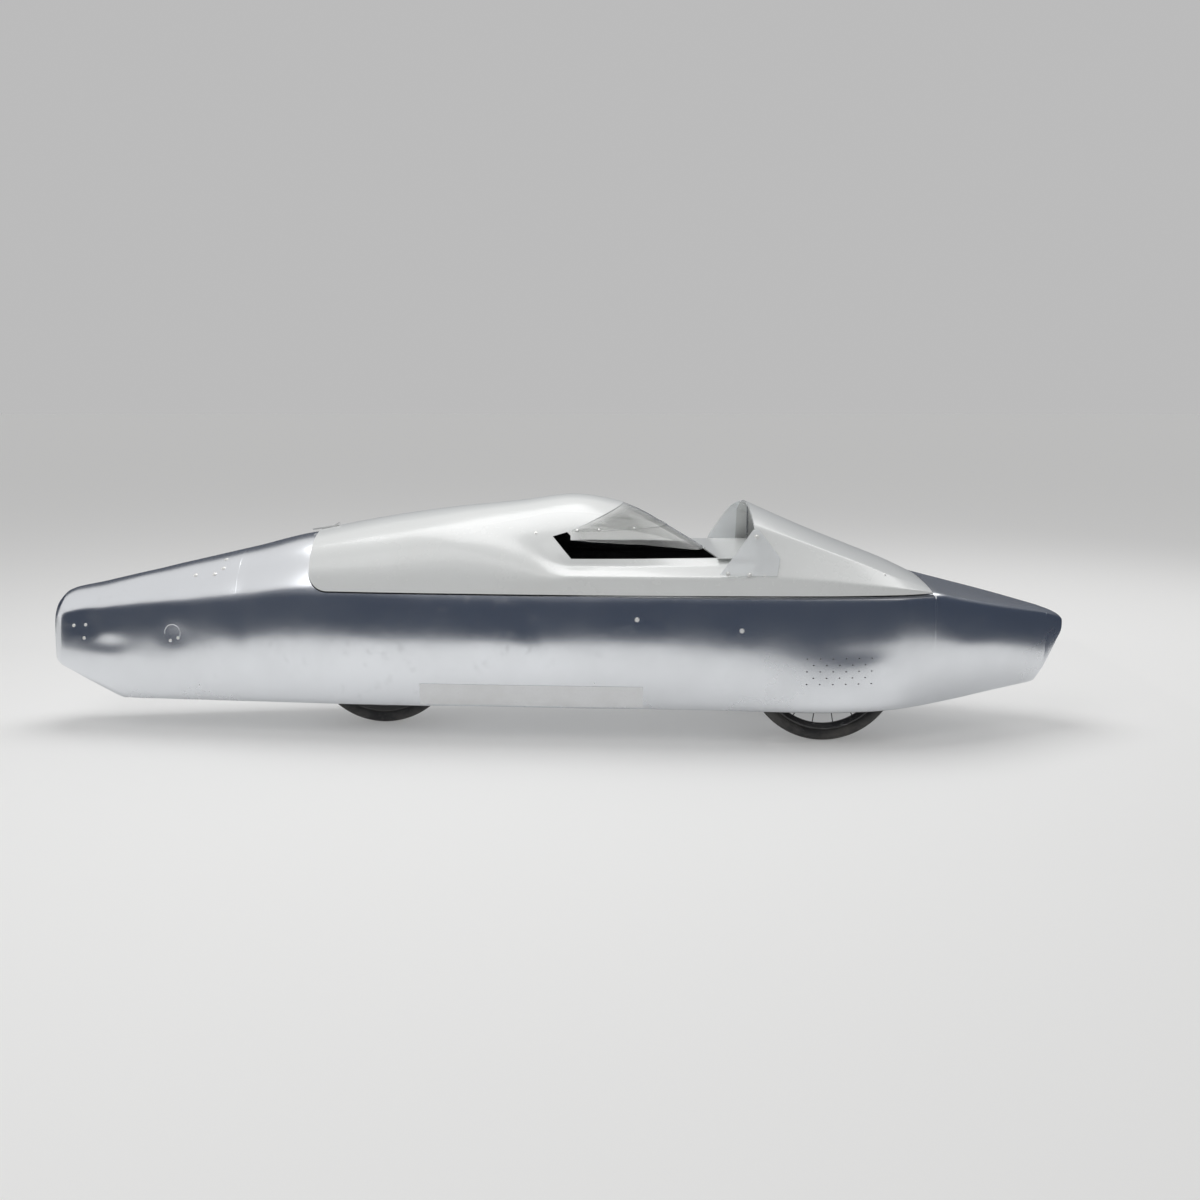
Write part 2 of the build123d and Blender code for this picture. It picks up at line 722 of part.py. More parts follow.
with BuildPart() as floor_rails:
    with BuildSketch(Plane.YZ.offset(RAIL_REAR_X)):
        with Locations((RAIL_Y, RAIL_TOP - RAIL_HEIGHT / 2), (-RAIL_Y, RAIL_TOP - RAIL_HEIGHT / 2)):
            Rectangle(RAIL_WIDTH, RAIL_HEIGHT)
            Rectangle(RAIL_WIDTH - 2 * RAIL_WALL, RAIL_HEIGHT - 2 * RAIL_WALL, mode=Mode.SUBTRACT)
    extrude(amount=RAIL_FRONT_X - RAIL_REAR_X)
write(floor_rails.part, "floor_rails")

# Front axle: cross tube, two posts, the ears and the kingpins

EAR_INNER_Z = BARREL_HEIGHT / 2 + EAR_GAP

with BuildPart() as front_axle:
    with Locations((FRONT_X, 0, WHEEL_R)):
        Cylinder(BEAM_R, 2 * BEAM_HALF, rotation=(90, 0, 0))
    for side in (1, -1):
        with Locations((FRONT_X, side * RAIL_Y, (RAIL_TOP + SEAT_GAP + WHEEL_R) / 2)):
            Box(BEAM, BEAM, WHEEL_R - RAIL_TOP - SEAT_GAP)
        with Locations((FRONT_X, side * (BEAM_HALF + EAR / 2), WHEEL_R)):
            Box(2 * BARREL_R, EAR, 2 * (EAR_INNER_Z + EAR))
        for level in (1, -1):
            ear_z = WHEEL_R + level * (EAR_INNER_Z + EAR / 2)
            ear_reach = KINGPIN_Y - BEAM_HALF
            with Locations((FRONT_X, side * (BEAM_HALF + ear_reach / 2), ear_z)):
                Box(2 * BARREL_R, ear_reach, EAR)
            with Locations((FRONT_X, side * KINGPIN_Y, ear_z)):
                Cylinder(BARREL_R, EAR)
        with Locations((FRONT_X, side * KINGPIN_Y, WHEEL_R)):
            Cylinder(KINGPIN_R, 2 * EAR_INNER_Z + EAR)
    with Locations((FRONT_X, 0, WHEEL_R + BEAM_R)):
        Cylinder(BARREL_R, 2 * POST_BOSS)
    with Locations((FRONT_X, 0, WHEEL_R + BEAM_R)):
        Cylinder(KINGPIN_R, TILLER_BARREL + POST_SPARE, align=(Align.CENTER, Align.CENTER, Align.MIN))
write(front_axle.part, "front_axle")

# Steering knuckles

ARM_END_X = FRONT_X - ARM_LENGTH

for side, name in ((1, "knuckle_left"), (-1, "knuckle_right")):
    with BuildPart() as knuckle:
        with Locations((FRONT_X, side * KINGPIN_Y, WHEEL_R)):
            Cylinder(BARREL_R, BARREL_HEIGHT)
        stub_end = HALF_TRACK + FRONT_HUB_HALF + STUB_SPARE
        with Locations((FRONT_X, side * (KINGPIN_Y + stub_end) / 2, WHEEL_R)):
            Cylinder(AXLE_R, stub_end - KINGPIN_Y, rotation=(90, 0, 0))
        with Locations((FRONT_X, side * (stub_end + STUB_SPARE / 2), WHEEL_R)):
            Cylinder(AXLE_R + STUB_CAP_RISE, STUB_SPARE, rotation=(90, 0, 0))
        shoulder_end = HALF_TRACK - FRONT_HUB_HALF - HUB_GAP
        with Locations((FRONT_X, side * (KINGPIN_Y + shoulder_end) / 2, WHEEL_R)):
            Cylinder(AXLE_R + SHOULDER_RISE, shoulder_end - KINGPIN_Y, rotation=(90, 0, 0))
        arm_z = WHEEL_R - BARREL_HEIGHT / 2 + ARM_THICKNESS / 2
        with Locations(((FRONT_X + ARM_END_X) / 2, side * KINGPIN_Y, arm_z)):
            Box(ARM_LENGTH, ARM_WIDTH, ARM_THICKNESS)
        with Locations((ARM_END_X, side * KINGPIN_Y, arm_z)):
            Cylinder(ARM_WIDTH / 2, ARM_THICKNESS)
        pin_length = arm_z - TIE_Z + TIE_EYE / 2 + PIN_SPARE
        with Locations((ARM_END_X, side * KINGPIN_Y, arm_z - pin_length / 2)):
            Cylinder(TIE_PIN_R, pin_length)
        with Locations((FRONT_X, side * KINGPIN_Y, WHEEL_R)):
            Cylinder(KINGPIN_R + BORE_CLEARANCE, BARREL_HEIGHT, mode=Mode.SUBTRACT)
    write(knuckle.part, name)

with BuildPart() as tie_rod:
    with Locations((ARM_END_X, 0, TIE_Z)):
        Cylinder(TIE_R, 2 * KINGPIN_Y, rotation=(90, 0, 0))
    with Locations((ARM_END_X, KINGPIN_Y, TIE_Z), (ARM_END_X, 0, TIE_Z), (ARM_END_X, -KINGPIN_Y, TIE_Z)):
        Cylinder(TIE_EYE_R, TIE_EYE)
    with Locations((ARM_END_X, KINGPIN_Y, TIE_Z), (ARM_END_X, 0, TIE_Z), (ARM_END_X, -KINGPIN_Y, TIE_Z)):
        Cylinder(TIE_PIN_R + BORE_CLEARANCE, 2 * TIE_EYE, mode=Mode.SUBTRACT)
write(tie_rod.part, "tie_rod")

# Tiller: barrel on the axle's post, drop arm to the tie rod, column and cross bar

TILLER_LOW_Z = WHEEL_R + BEAM_R + POST_BOSS + EAR_GAP
TILLER_MID_Z = TILLER_LOW_Z + TILLER_BARREL / 2

with BuildPart() as tiller:
    with Locations((FRONT_X, 0, TILLER_MID_Z)):
        Cylinder(BARREL_R, TILLER_BARREL)
    with Locations(((FRONT_X + ARM_END_X) / 2, 0, TILLER_LOW_Z + ARM_THICKNESS / 2)):
        Box(ARM_LENGTH, ARM_WIDTH, ARM_THICKNESS)
    with Locations((ARM_END_X, 0, TILLER_LOW_Z + ARM_THICKNESS)):
        Cylinder(
            TIE_PIN_R,
            TILLER_LOW_Z + ARM_THICKNESS - TIE_Z + TIE_EYE / 2 + PIN_SPARE,
            align=(Align.CENTER, Align.CENTER, Align.MAX),
        )
    column_start = Vector(FRONT_X, 0, TILLER_MID_Z)
    column_end = Vector(BAR_X, 0, BAR_Z)
    with BuildSketch(Plane(origin=column_start, z_dir=column_end - column_start)):
        Circle(COLUMN_R)
    extrude(amount=(column_end - column_start).length)
    with Locations((BAR_X, 0, BAR_Z)):
        Cylinder(BAR_R, 2 * BAR_HALF, rotation=(90, 0, 0))
    with Locations((FRONT_X, 0, TILLER_MID_Z)):
        Cylinder(KINGPIN_R + BORE_CLEARANCE, 2 * TILLER_BARREL, mode=Mode.SUBTRACT)
write(tiller.part, "tiller")

with BuildPart() as bar_grips:
    for side in (1, -1):
        with Locations((BAR_X, side * (BAR_HALF - GRIP_LENGTH / 2), BAR_Z)):
            Cylinder(GRIP_R, GRIP_LENGTH, rotation=(90, 0, 0))
            Cylinder(BAR_R, GRIP_LENGTH, rotation=(90, 0, 0), mode=Mode.SUBTRACT)
write(bar_grips.part, "bar_grips")

# Seat, pads, hoop and bulkhead

SEAT_LOW_Z = RAIL_TOP + SEAT_GAP + SEAT_SHELL / 2

with BuildPart() as seat_shell:
    with BuildSketch(Plane.XZ):
        with BuildLine():
            seat_line = FilletPolyline(
                (SEAT_FRONT_X, SEAT_LOW_Z + SEAT_LIP_RISE),
                (SEAT_FRONT_X - SEAT_LIP_LENGTH, SEAT_LOW_Z),
                (SEAT_HIP_X, SEAT_LOW_Z),
                (SEAT_TOP_X, SEAT_TOP_Z),
                radius=SEAT_BEND_R,
            )
        trace(seat_line, line_width=SEAT_SHELL)
    extrude(amount=SEAT_HALF, both=True)
write(seat_shell.part, "seat_shell")

back_direction = Vector(SEAT_TOP_X - SEAT_HIP_X, 0, SEAT_TOP_Z - SEAT_LOW_Z).normalized()
back_normal = Vector(back_direction.Z, 0, -back_direction.X)
back_plane = Plane(
    origin=Vector(SEAT_TOP_X, 0, SEAT_TOP_Z) + back_normal * (SEAT_SHELL / 2 + SEAT_GAP),
    x_dir=-back_direction,
    z_dir=back_normal,
)

with BuildPart() as back_pad:
    with BuildSketch(back_plane):
        with Locations((BACK_PAD_LENGTH / 2 + BACK_PAD_DROP, 0)):
            RectangleRounded(BACK_PAD_LENGTH, 2 * (SEAT_HALF - PAD_MARGIN), PAD_CORNER_R)
    extrude(amount=PAD)
write(back_pad.part, "back_pad")

with BuildPart() as base_pad:
    with BuildSketch(Plane.XY.offset(SEAT_LOW_Z + SEAT_SHELL / 2 + SEAT_GAP)):
        with Locations((SEAT_HIP_X + BASE_PAD_START + BASE_PAD_LENGTH / 2, 0)):
            RectangleRounded(BASE_PAD_LENGTH, 2 * (SEAT_HALF - PAD_MARGIN), PAD_CORNER_R)
    extrude(amount=PAD)
write(base_pad.part, "base_pad")

with BuildPart() as roll_hoop:
    with BuildLine():
        hoop_line = FilletPolyline(
            (HOOP_X, RAIL_Y, RAIL_TOP + SEAT_GAP),
            (HOOP_X, RAIL_Y, HOOP_TOP_Z),
            (HOOP_X, -RAIL_Y, HOOP_TOP_Z),
            (HOOP_X, -RAIL_Y, RAIL_TOP + SEAT_GAP),
            radius=RAIL_Y - HOOP_SHOULDER,
        )
    with BuildSketch(Plane(origin=hoop_line @ 0, z_dir=hoop_line % 0)):
        Circle(HOOP_R)
    sweep()
write(roll_hoop.part, "roll_hoop")

with BuildPart() as head_rest:
    with BuildSketch(Plane.YZ.offset(HOOP_X + HOOP_R + SEAT_GAP)):
        with Locations((0, HEAD_REST_Z)):
            RectangleRounded(2 * (RAIL_Y + HEAD_REST_SPARE), HEAD_REST_HEIGHT, HEAD_REST_CORNER_R)
    extrude(amount=PAD)
write(head_rest.part, "head_rest")

with BuildPart() as bulkhead:
    add(body_solid(WALL + SEAT_GAP))
    split(bisect_by=Plane.YZ.offset(BULKHEAD_X), keep=Keep.TOP)
    split(bisect_by=Plane.YZ.offset(BULKHEAD_X + BULKHEAD_THICKNESS), keep=Keep.BOTTOM)
    split(bisect_by=Plane.XY.offset(RIM_Z - WALL - SEAT_GAP), keep=Keep.BOTTOM)
    with Locations(
        (BULKHEAD_X, RAIL_Y, RAIL_TOP - RAIL_HEIGHT / 2),
        (BULKHEAD_X, -RAIL_Y, RAIL_TOP - RAIL_HEIGHT / 2),
    ):
        Box(2 * CUT_HALF, RAIL_WIDTH + 2 * SEAT_GAP, RAIL_HEIGHT + 2 * SEAT_GAP, mode=Mode.SUBTRACT)
write(bulkhead.part, "bulkhead")

# Rear fork: cross beams on the rails, two plates and the fixed spindle

with BuildPart() as rear_fork:
    beam_z = RAIL_TOP + SEAT_GAP + BEAM / 2
    with Locations((FORK_FRONT_X, 0, beam_z), (FORK_REAR_X, 0, beam_z)):
        Box(BEAM, 2 * RAIL_Y + RAIL_WIDTH, BEAM)
    for side in (1, -1):
        with BuildSketch(Plane.XZ.offset(-side * FORK_Y)):
            with BuildLine():
                Polyline(
                    (FORK_FRONT_X, beam_z + BEAM / 2),
                    (REAR_X + FORK_EYE, WHEEL_R + FORK_EYE),
                    (REAR_X - FORK_EYE, WHEEL_R + FORK_EYE),
                    (FORK_REAR_X, beam_z + BEAM / 2),
                    (FORK_REAR_X, beam_z - BEAM / 2),
                    (REAR_X, beam_z + BEAM / 2),
                    (FORK_FRONT_X, beam_z - BEAM / 2),
                    close=True,
                )
            make_face()
            hole_z = WHEEL_R - FORK_HOLE_DROP
            with Locations((REAR_X + FORK_HOLE_X, hole_z), (REAR_X - FORK_HOLE_X, hole_z)):
                Circle(FORK_HOLE_R, mode=Mode.SUBTRACT)
        extrude(amount=PLATE / 2, both=True)
    with Locations((REAR_X, 0, WHEEL_R)):
        Cylinder(AXLE_R, 2 * (FORK_Y + SPINDLE_SPARE) + PLATE, rotation=(90, 0, 0))
write(rear_fork.part, "rear_fork")

# Drive: block on its plate, output shaft with its sprocket, chain, and the wheel's sprocket

with BuildPart() as drive_unit:
    with BuildSketch(Plane.XY.offset(RAIL_TOP + SEAT_GAP)):
        with Locations((DRIVE_X, 0)):
            Rectangle(DRIVE_PLATE_LENGTH, 2 * RAIL_Y + RAIL_WIDTH)
    extrude(amount=PLATE)
    with Locations((DRIVE_X, DRIVE_Y, RAIL_TOP + SEAT_GAP + PLATE)):
        Box(DRIVE_LENGTH, DRIVE_WIDTH, DRIVE_HEIGHT, align=(Align.CENTER, Align.CENTER, Align.MIN))
    shaft_end = SPROCKET_Y + SHAFT_SPARE
    with Locations((DRIVE_X, (shaft_end + DRIVE_Y) / 2, WHEEL_R)):
        Cylinder(SHAFT_R, shaft_end - DRIVE_Y, rotation=(90, 0, 0))
    with Locations((DRIVE_X, SPROCKET_Y, WHEEL_R)):
        Cylinder(SMALL_SPROCKET_R, SPROCKET_WIDTH, rotation=(90, 0, 0))
write(drive_unit.part, "drive_unit")

with BuildPart() as rear_sprocket:
    with BuildSketch(Plane.XZ.offset(-SPROCKET_Y - SPROCKET_WIDTH / 2)):
        with Locations((REAR_X, WHEEL_R)):
            Circle(LARGE_SPROCKET_R)
            Circle(BARREL_HUB_R + SEAT_GAP / 2, mode=Mode.SUBTRACT)
            with PolarLocations(SPROCKET_HOLE_RING_R, SPROCKET_HOLES):
                Circle(SPROCKET_HOLE_R, mode=Mode.SUBTRACT)
    extrude(amount=SPROCKET_WIDTH)
write(rear_sprocket.part, "rear_sprocket")

with BuildPart() as drive_chain:
    for side in (1, -1):
        band_middle = SPROCKET_WIDTH / 2 + CHAIN_PLATE_GAP + CHAIN_PLATE / 2
        with BuildSketch(Plane.XZ.offset(-SPROCKET_Y - side * band_middle - CHAIN_PLATE / 2)):
            for grow, mode in ((CHAIN_HALF_HEIGHT, Mode.ADD), (-CHAIN_HALF_HEIGHT, Mode.SUBTRACT)):
                with BuildLine():
                    reach = REAR_X - DRIVE_X
                    big = LARGE_SPROCKET_R + grow
                    small = SMALL_SPROCKET_R + grow
                    lean = math.asin((big - small) / -reach)
                    cos_lean = math.cos(lean)
                    sin_lean = math.sin(lean)
                    big_top = (REAR_X + big * sin_lean, WHEEL_R + big * cos_lean)
                    small_top = (DRIVE_X + small * sin_lean, WHEEL_R + small * cos_lean)
                    big_low = (big_top[0], 2 * WHEEL_R - big_top[1])
                    small_low = (small_top[0], 2 * WHEEL_R - small_top[1])
                    Line(big_top, small_top)
                    ThreePointArc(small_top, (DRIVE_X + small, WHEEL_R), small_low)
                    Line(small_low, big_low)
                    ThreePointArc(big_low, (REAR_X - big, WHEEL_R), big_top)
                make_face(mode=mode)
        extrude(amount=CHAIN_PLATE)
write(drive_chain.part, "drive_chain")
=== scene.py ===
import cmath
import json
import logging
import math
from dataclasses import dataclass, field
from enum import Enum
from functools import lru_cache
from typing import Iterable, Sequence

import bmesh
import bpy
import numpy as np
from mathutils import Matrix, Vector, noise
from mathutils.bvhtree import BVHTree


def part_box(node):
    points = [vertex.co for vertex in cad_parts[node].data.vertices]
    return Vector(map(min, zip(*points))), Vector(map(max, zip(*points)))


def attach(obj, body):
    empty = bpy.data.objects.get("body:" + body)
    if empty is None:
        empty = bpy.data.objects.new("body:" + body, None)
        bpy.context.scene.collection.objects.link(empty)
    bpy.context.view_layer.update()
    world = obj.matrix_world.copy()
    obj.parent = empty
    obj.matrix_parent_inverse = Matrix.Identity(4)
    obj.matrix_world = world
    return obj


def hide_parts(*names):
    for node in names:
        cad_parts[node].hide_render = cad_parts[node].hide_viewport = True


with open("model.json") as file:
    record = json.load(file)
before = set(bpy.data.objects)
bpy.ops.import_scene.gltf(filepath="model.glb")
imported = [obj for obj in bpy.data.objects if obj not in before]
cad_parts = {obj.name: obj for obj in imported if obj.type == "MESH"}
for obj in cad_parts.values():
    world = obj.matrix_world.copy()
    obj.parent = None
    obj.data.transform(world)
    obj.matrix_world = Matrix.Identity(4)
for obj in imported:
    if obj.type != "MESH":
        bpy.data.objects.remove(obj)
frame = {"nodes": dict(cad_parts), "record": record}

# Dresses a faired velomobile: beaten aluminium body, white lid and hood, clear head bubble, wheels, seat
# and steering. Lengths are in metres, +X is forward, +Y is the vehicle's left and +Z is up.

log = logging.getLogger("velomobile")

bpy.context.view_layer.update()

Flat = tuple[float, float]
Colour = tuple[float, float, float]
Row = tuple[float, ...]
Ring = list[Vector]
Piece = bpy.types.Object
Socket = bpy.types.NodeSocket
Sockets = bpy.types.bpy_prop_collection
Tree = bpy.types.NodeTree
Material = bpy.types.Material


class Body(Enum):
    """The moving bodies that pieces ride on."""

    CHASSIS = "chassis"
    LID = "lid"
    WHEEL_LEFT = "wheel_left"
    WHEEL_RIGHT = "wheel_right"
    WHEEL_REAR = "wheel_rear"


class Slot(Enum):
    """Names of some of the record's material slots."""

    ALUMINIUM = "bare_aluminium"
    WHITE = "white_paint"
    STEEL = "bright_steel"
    TYRE = "tyre"
    FABRIC = "pad_fabric"
    BLACK = "black_paint"


# Lines


def read(line: Sequence[Flat], key: float) -> float:
    """Returns a line's second measure where its first is the key."""
    return float(np.interp(key, *zip(*line)))


def along(points: Sequence[Flat], count: int) -> list[Flat]:
    """Places points evenly by length on a polyline.

    Args:
        points: The polyline's corners.
        count: How many points to return, ends included.

    Returns:
        The evenly spaced points.
    """
    run = np.array(points, float)
    reach = np.concatenate([[0.0], np.cumsum(np.hypot(*np.diff(run, axis=0).T))])
    at = np.linspace(0.0, reach[-1], count)
    return list(zip(np.interp(at, reach, run[:, 0]), np.interp(at, reach, run[:, 1])))


def arc(start: Flat, middle: Flat, end: Flat, count: int) -> list[Flat]:
    """Draws the arc through three points.

    Args:
        start: First point.
        middle: A point that the arc passes through.
        end: Last point.
        count: How many points to return, ends included.

    Returns:
        Points on the arc, or on the straight line when the three are in line.
    """
    a, b, c = (complex(*point) for point in (start, middle, end))
    lean = (c - a) / (b - a)
    if abs(lean.imag) * abs(b - a) ** 2 < 1e-9:
        return along([start, middle, end], count)
    centre = a + (b - a) * (lean - abs(lean) ** 2) / (2j * lean.imag)
    way = math.copysign(1.0, lean.imag)
    first, last = cmath.phase(a - centre), cmath.phase(c - centre)
    sweep = way * ((way * (last - first)) % math.tau)
    turned = [centre + cmath.rect(abs(a - centre), first + sweep * i / (count - 1)) for i in range(count)]
    return [(point.real, point.imag) for point in turned]


def over_top(side: Flat, top: float) -> list[Flat]:
    """Returns the arc from one side of the vehicle to its top, as half of the arc that crosses it."""
    return arc(side, (0.0, top), (-side[0], side[1]), 61)[:31]


def bend(middle: Flat, radius: float, start: float, sweep: float, steps: int) -> list[Flat]:
    """Returns points round a corner, from its middle, radius, first direction and sweep in degrees."""
    turns = [math.radians(start + sweep * i / steps) for i in range(steps + 1)]
    return [(middle[0] + radius * math.cos(t), middle[1] + radius * math.sin(t)) for t in turns]


def section(x: float, half: list[Flat], soft: int, closed: bool) -> Ring:
    """Makes a whole cross-section of one half.

    Args:
        x: Where the section stands.
        half: Its (Y, Z) points from one end or the bottom up to the crest.
        soft: How many times each point is averaged with its neighbours.
        closed: Whether the section joins up below.

    Returns:
        The ring of both halves.
    """
    other = half[1:-1] if closed else half[:-1]
    ring = np.array(half + [(-y, z) for y, z in reversed(other)])
    for _ in range(soft):
        smooth = 0.25 * np.roll(ring, 1, axis=0) + 0.5 * ring + 0.25 * np.roll(ring, -1, axis=0)
        if not closed:
            smooth[0], smooth[-1] = ring[0], ring[-1]
        ring = smooth
    return [Vector((x, y, z)) for y, z in ring]


def between(rows: Sequence[Row], x: float) -> np.ndarray:
    """Reads a table of measures smoothly and without overshoot.

    Args:
        rows: The table, each row led by its X.
        x: A place between the first and the last row.

    Returns:
        The row of measures at that place.
    """
    values = np.array(rows, float)
    keys = values[:, 0]
    step = np.diff(keys)[:, None]
    rise = np.diff(values, axis=0) / step
    low, high = 2 * step[1:] + step[:-1], step[1:] + 2 * step[:-1]
    with np.errstate(divide="ignore", invalid="ignore"):
        mean = (low + high) / (low / rise[:-1] + high / rise[1:])
    slope = np.vstack([rise[:1], np.where(rise[:-1] * rise[1:] > 0, mean, 0.0), rise[-1:]])
    i = int(np.clip(np.searchsorted(keys, x) - 1, 0, len(keys) - 2))
    t = (x - keys[i]) / step[i]
    return (
        (1 + 2 * t) * (1 - t) ** 2 * values[i]
        + t * (1 - t) ** 2 * step[i] * slope[i]
        + t * t * (3 - 2 * t) * values[i + 1]
        + t * t * (t - 1) * step[i] * slope[i + 1]
    )


def stations(rows: Sequence[Row], start: float, end: float, step: float) -> list[np.ndarray]:
    """Returns rows of measures from start to end, about a step apart."""
    return [between(rows, x) for x in np.linspace(start, end, max(3, round((end - start) / step) + 1))]


# Meshes


class Shape:
    """Points and faces of a mesh in the making."""

    def __init__(self) -> None:
        """Starts empty."""
        self.points: list[Vector] = []
        self.faces: list[tuple[int, ...]] = []

    def skin(self, rings: Sequence[Ring], closed: bool = True, ends: tuple[bool, bool] = (False, False)) -> "Shape":
        """Adds a skin over a row of rings that all have the same number of points.

        Args:
            rings: The rings, in order along the skin.
            closed: Whether each ring joins its last point to its first.
            ends: Whether the first and the last ring are filled.

        Returns:
            The shape.
        """
        first, count = len(self.points), len(rings[0])
        self.points += [p for ring in rings for p in ring]
        last = len(self.points) - count
        for near in range(first, last, count):
            for i in range(count if closed else count - 1):
                k = (i + 1) % count
                self.faces.append((near + i, near + k, near + count + k, near + count + i))
        if ends[0]:
            self.faces.append(tuple(reversed(range(first, first + count))))
        if ends[1]:
            self.faces.append(tuple(range(last, last + count)))
        return self

    def tip(self, point: Vector, count: int) -> None:
        """Joins the last ring, which has count points, to one point."""
        end = len(self.points)
        self.points.append(point)
        self.faces += [(end - count + i, end - count + (i + 1) % count, end) for i in range(count)]

    def piece(self, name: str) -> Piece:
        """Makes the shape an object and links it to the scene."""
        mesh = bpy.data.meshes.new(name)
        mesh.from_pydata(self.points, [], self.faces)
        made = bpy.data.objects.new(name, mesh)
        bpy.context.scene.collection.objects.link(made)
        return made


def grid_piece(name: str, rings: Sequence[Ring], closed: bool = True) -> Piece:
    """Skins a row of rings as a piece of its own, with its faces turned outward."""
    piece = Shape().skin(rings, closed).piece(name)
    half, count = len(rings) // 2, len(rings[0])
    wrap = count if closed else count - 1
    middle = sum(rings[half], Vector()) / count
    sample = piece.data.polygons[half * wrap - wrap // 3]
    if sample.normal.dot(sample.center - middle) < 0:
        piece.data.flip_normals()
    return piece


def welded(piece: Piece, near: float = 0.0) -> Piece:
    """Joins the points of a closed piece that lie this near and turns all its faces outward."""
    work = bmesh.new()
    work.from_mesh(piece.data)
    bmesh.ops.remove_doubles(work, verts=work.verts, dist=near)
    bmesh.ops.recalc_face_normals(work, faces=work.faces)
    work.to_mesh(piece.data)
    work.free()
    return piece


def close_ends(piece: Piece, low: float, high: float) -> None:
    """Fills the open ends of a piece that lie between two places along X, facing outward."""
    work = bmesh.new()
    work.from_mesh(piece.data)
    middle = sum(v.co.x for v in work.verts) / len(work.verts)
    rim = [edge for edge in work.edges if edge.is_boundary and low < edge.verts[0].co.x < high]
    for face in bmesh.ops.holes_fill(work, edges=rim, sides=0)["faces"]:
        face.normal_update()
        if face.normal.x * (face.calc_center_median().x - middle) < 0:
            face.normal_flip()
    work.to_mesh(piece.data)
    work.free()


def settle(piece: Piece) -> None:
    """Applies every modifier of a piece."""
    depsgraph = bpy.context.evaluated_depsgraph_get()
    depsgraph.update()
    mesh = bpy.data.meshes.new_from_object(piece.evaluated_get(depsgraph))
    piece.modifiers.clear()
    piece.data = mesh


def thicken(piece: Piece, wall: float, outside: "Finish", inside: "Finish") -> None:
    """Gives an open skin its thickness, inward from its outer face, with a finish for each face."""
    for finish in (outside, inside):
        piece.data.materials.append(finish.material())
    solid = piece.modifiers.new("wall", "SOLIDIFY")
    solid.thickness = wall
    solid.offset = -1.0
    solid.material_offset = 1
    settle(piece)


def prism(low: Ring, high: Ring) -> Piece:
    """Makes a closed cutter between two equal outlines."""
    return welded(Shape().skin([low, high], ends=(True, True)).piece("cutter"))


def across_prism(outline: Sequence[Flat], reach: float = 0.6) -> Piece:
    """Makes a cutter of an (X, Z) outline that passes through the vehicle from side to side."""
    return prism([Vector((x, -reach, z)) for x, z in outline], [Vector((x, reach, z)) for x, z in outline])


def cut(piece: Piece, cutters: Iterable[Piece]) -> None:
    """Takes each cutter out of a piece and removes the cutter."""
    for cutter in cutters:
        knife = piece.modifiers.new("cut", "BOOLEAN")
        knife.operation = "DIFFERENCE"
        knife.solver = "EXACT"
        knife.object = cutter
        settle(piece)
        bpy.data.objects.remove(cutter)


class Surface:
    """A piece's outer face, for setting small parts on it."""

    def __init__(self, piece: Piece) -> None:
        """Reads the piece's faces."""
        mesh = piece.data
        self.tree = BVHTree.FromPolygons([v.co for v in mesh.vertices], [tuple(p.vertices) for p in mesh.polygons])

    def side(self, x: float, z: float, hand: int = -1) -> tuple[Vector, Vector]:
        """Returns the place and outward normal on one side, -1 right or 1 left, at a height."""
        way = Vector((0, -hand, 0))
        place, normal, _, _ = self.tree.ray_cast(Vector((x, 2.0 * hand, z)), way)
        return place, (normal if normal.dot(way) < 0 else -normal)


def directions(normal: Vector) -> tuple[Vector, Vector]:
    """Returns two directions across a normal, the first of them level."""
    first = Vector((0, 0, 1)).cross(normal).normalized()
    return first, normal.cross(first).normalized()


# Shader groups and finishes


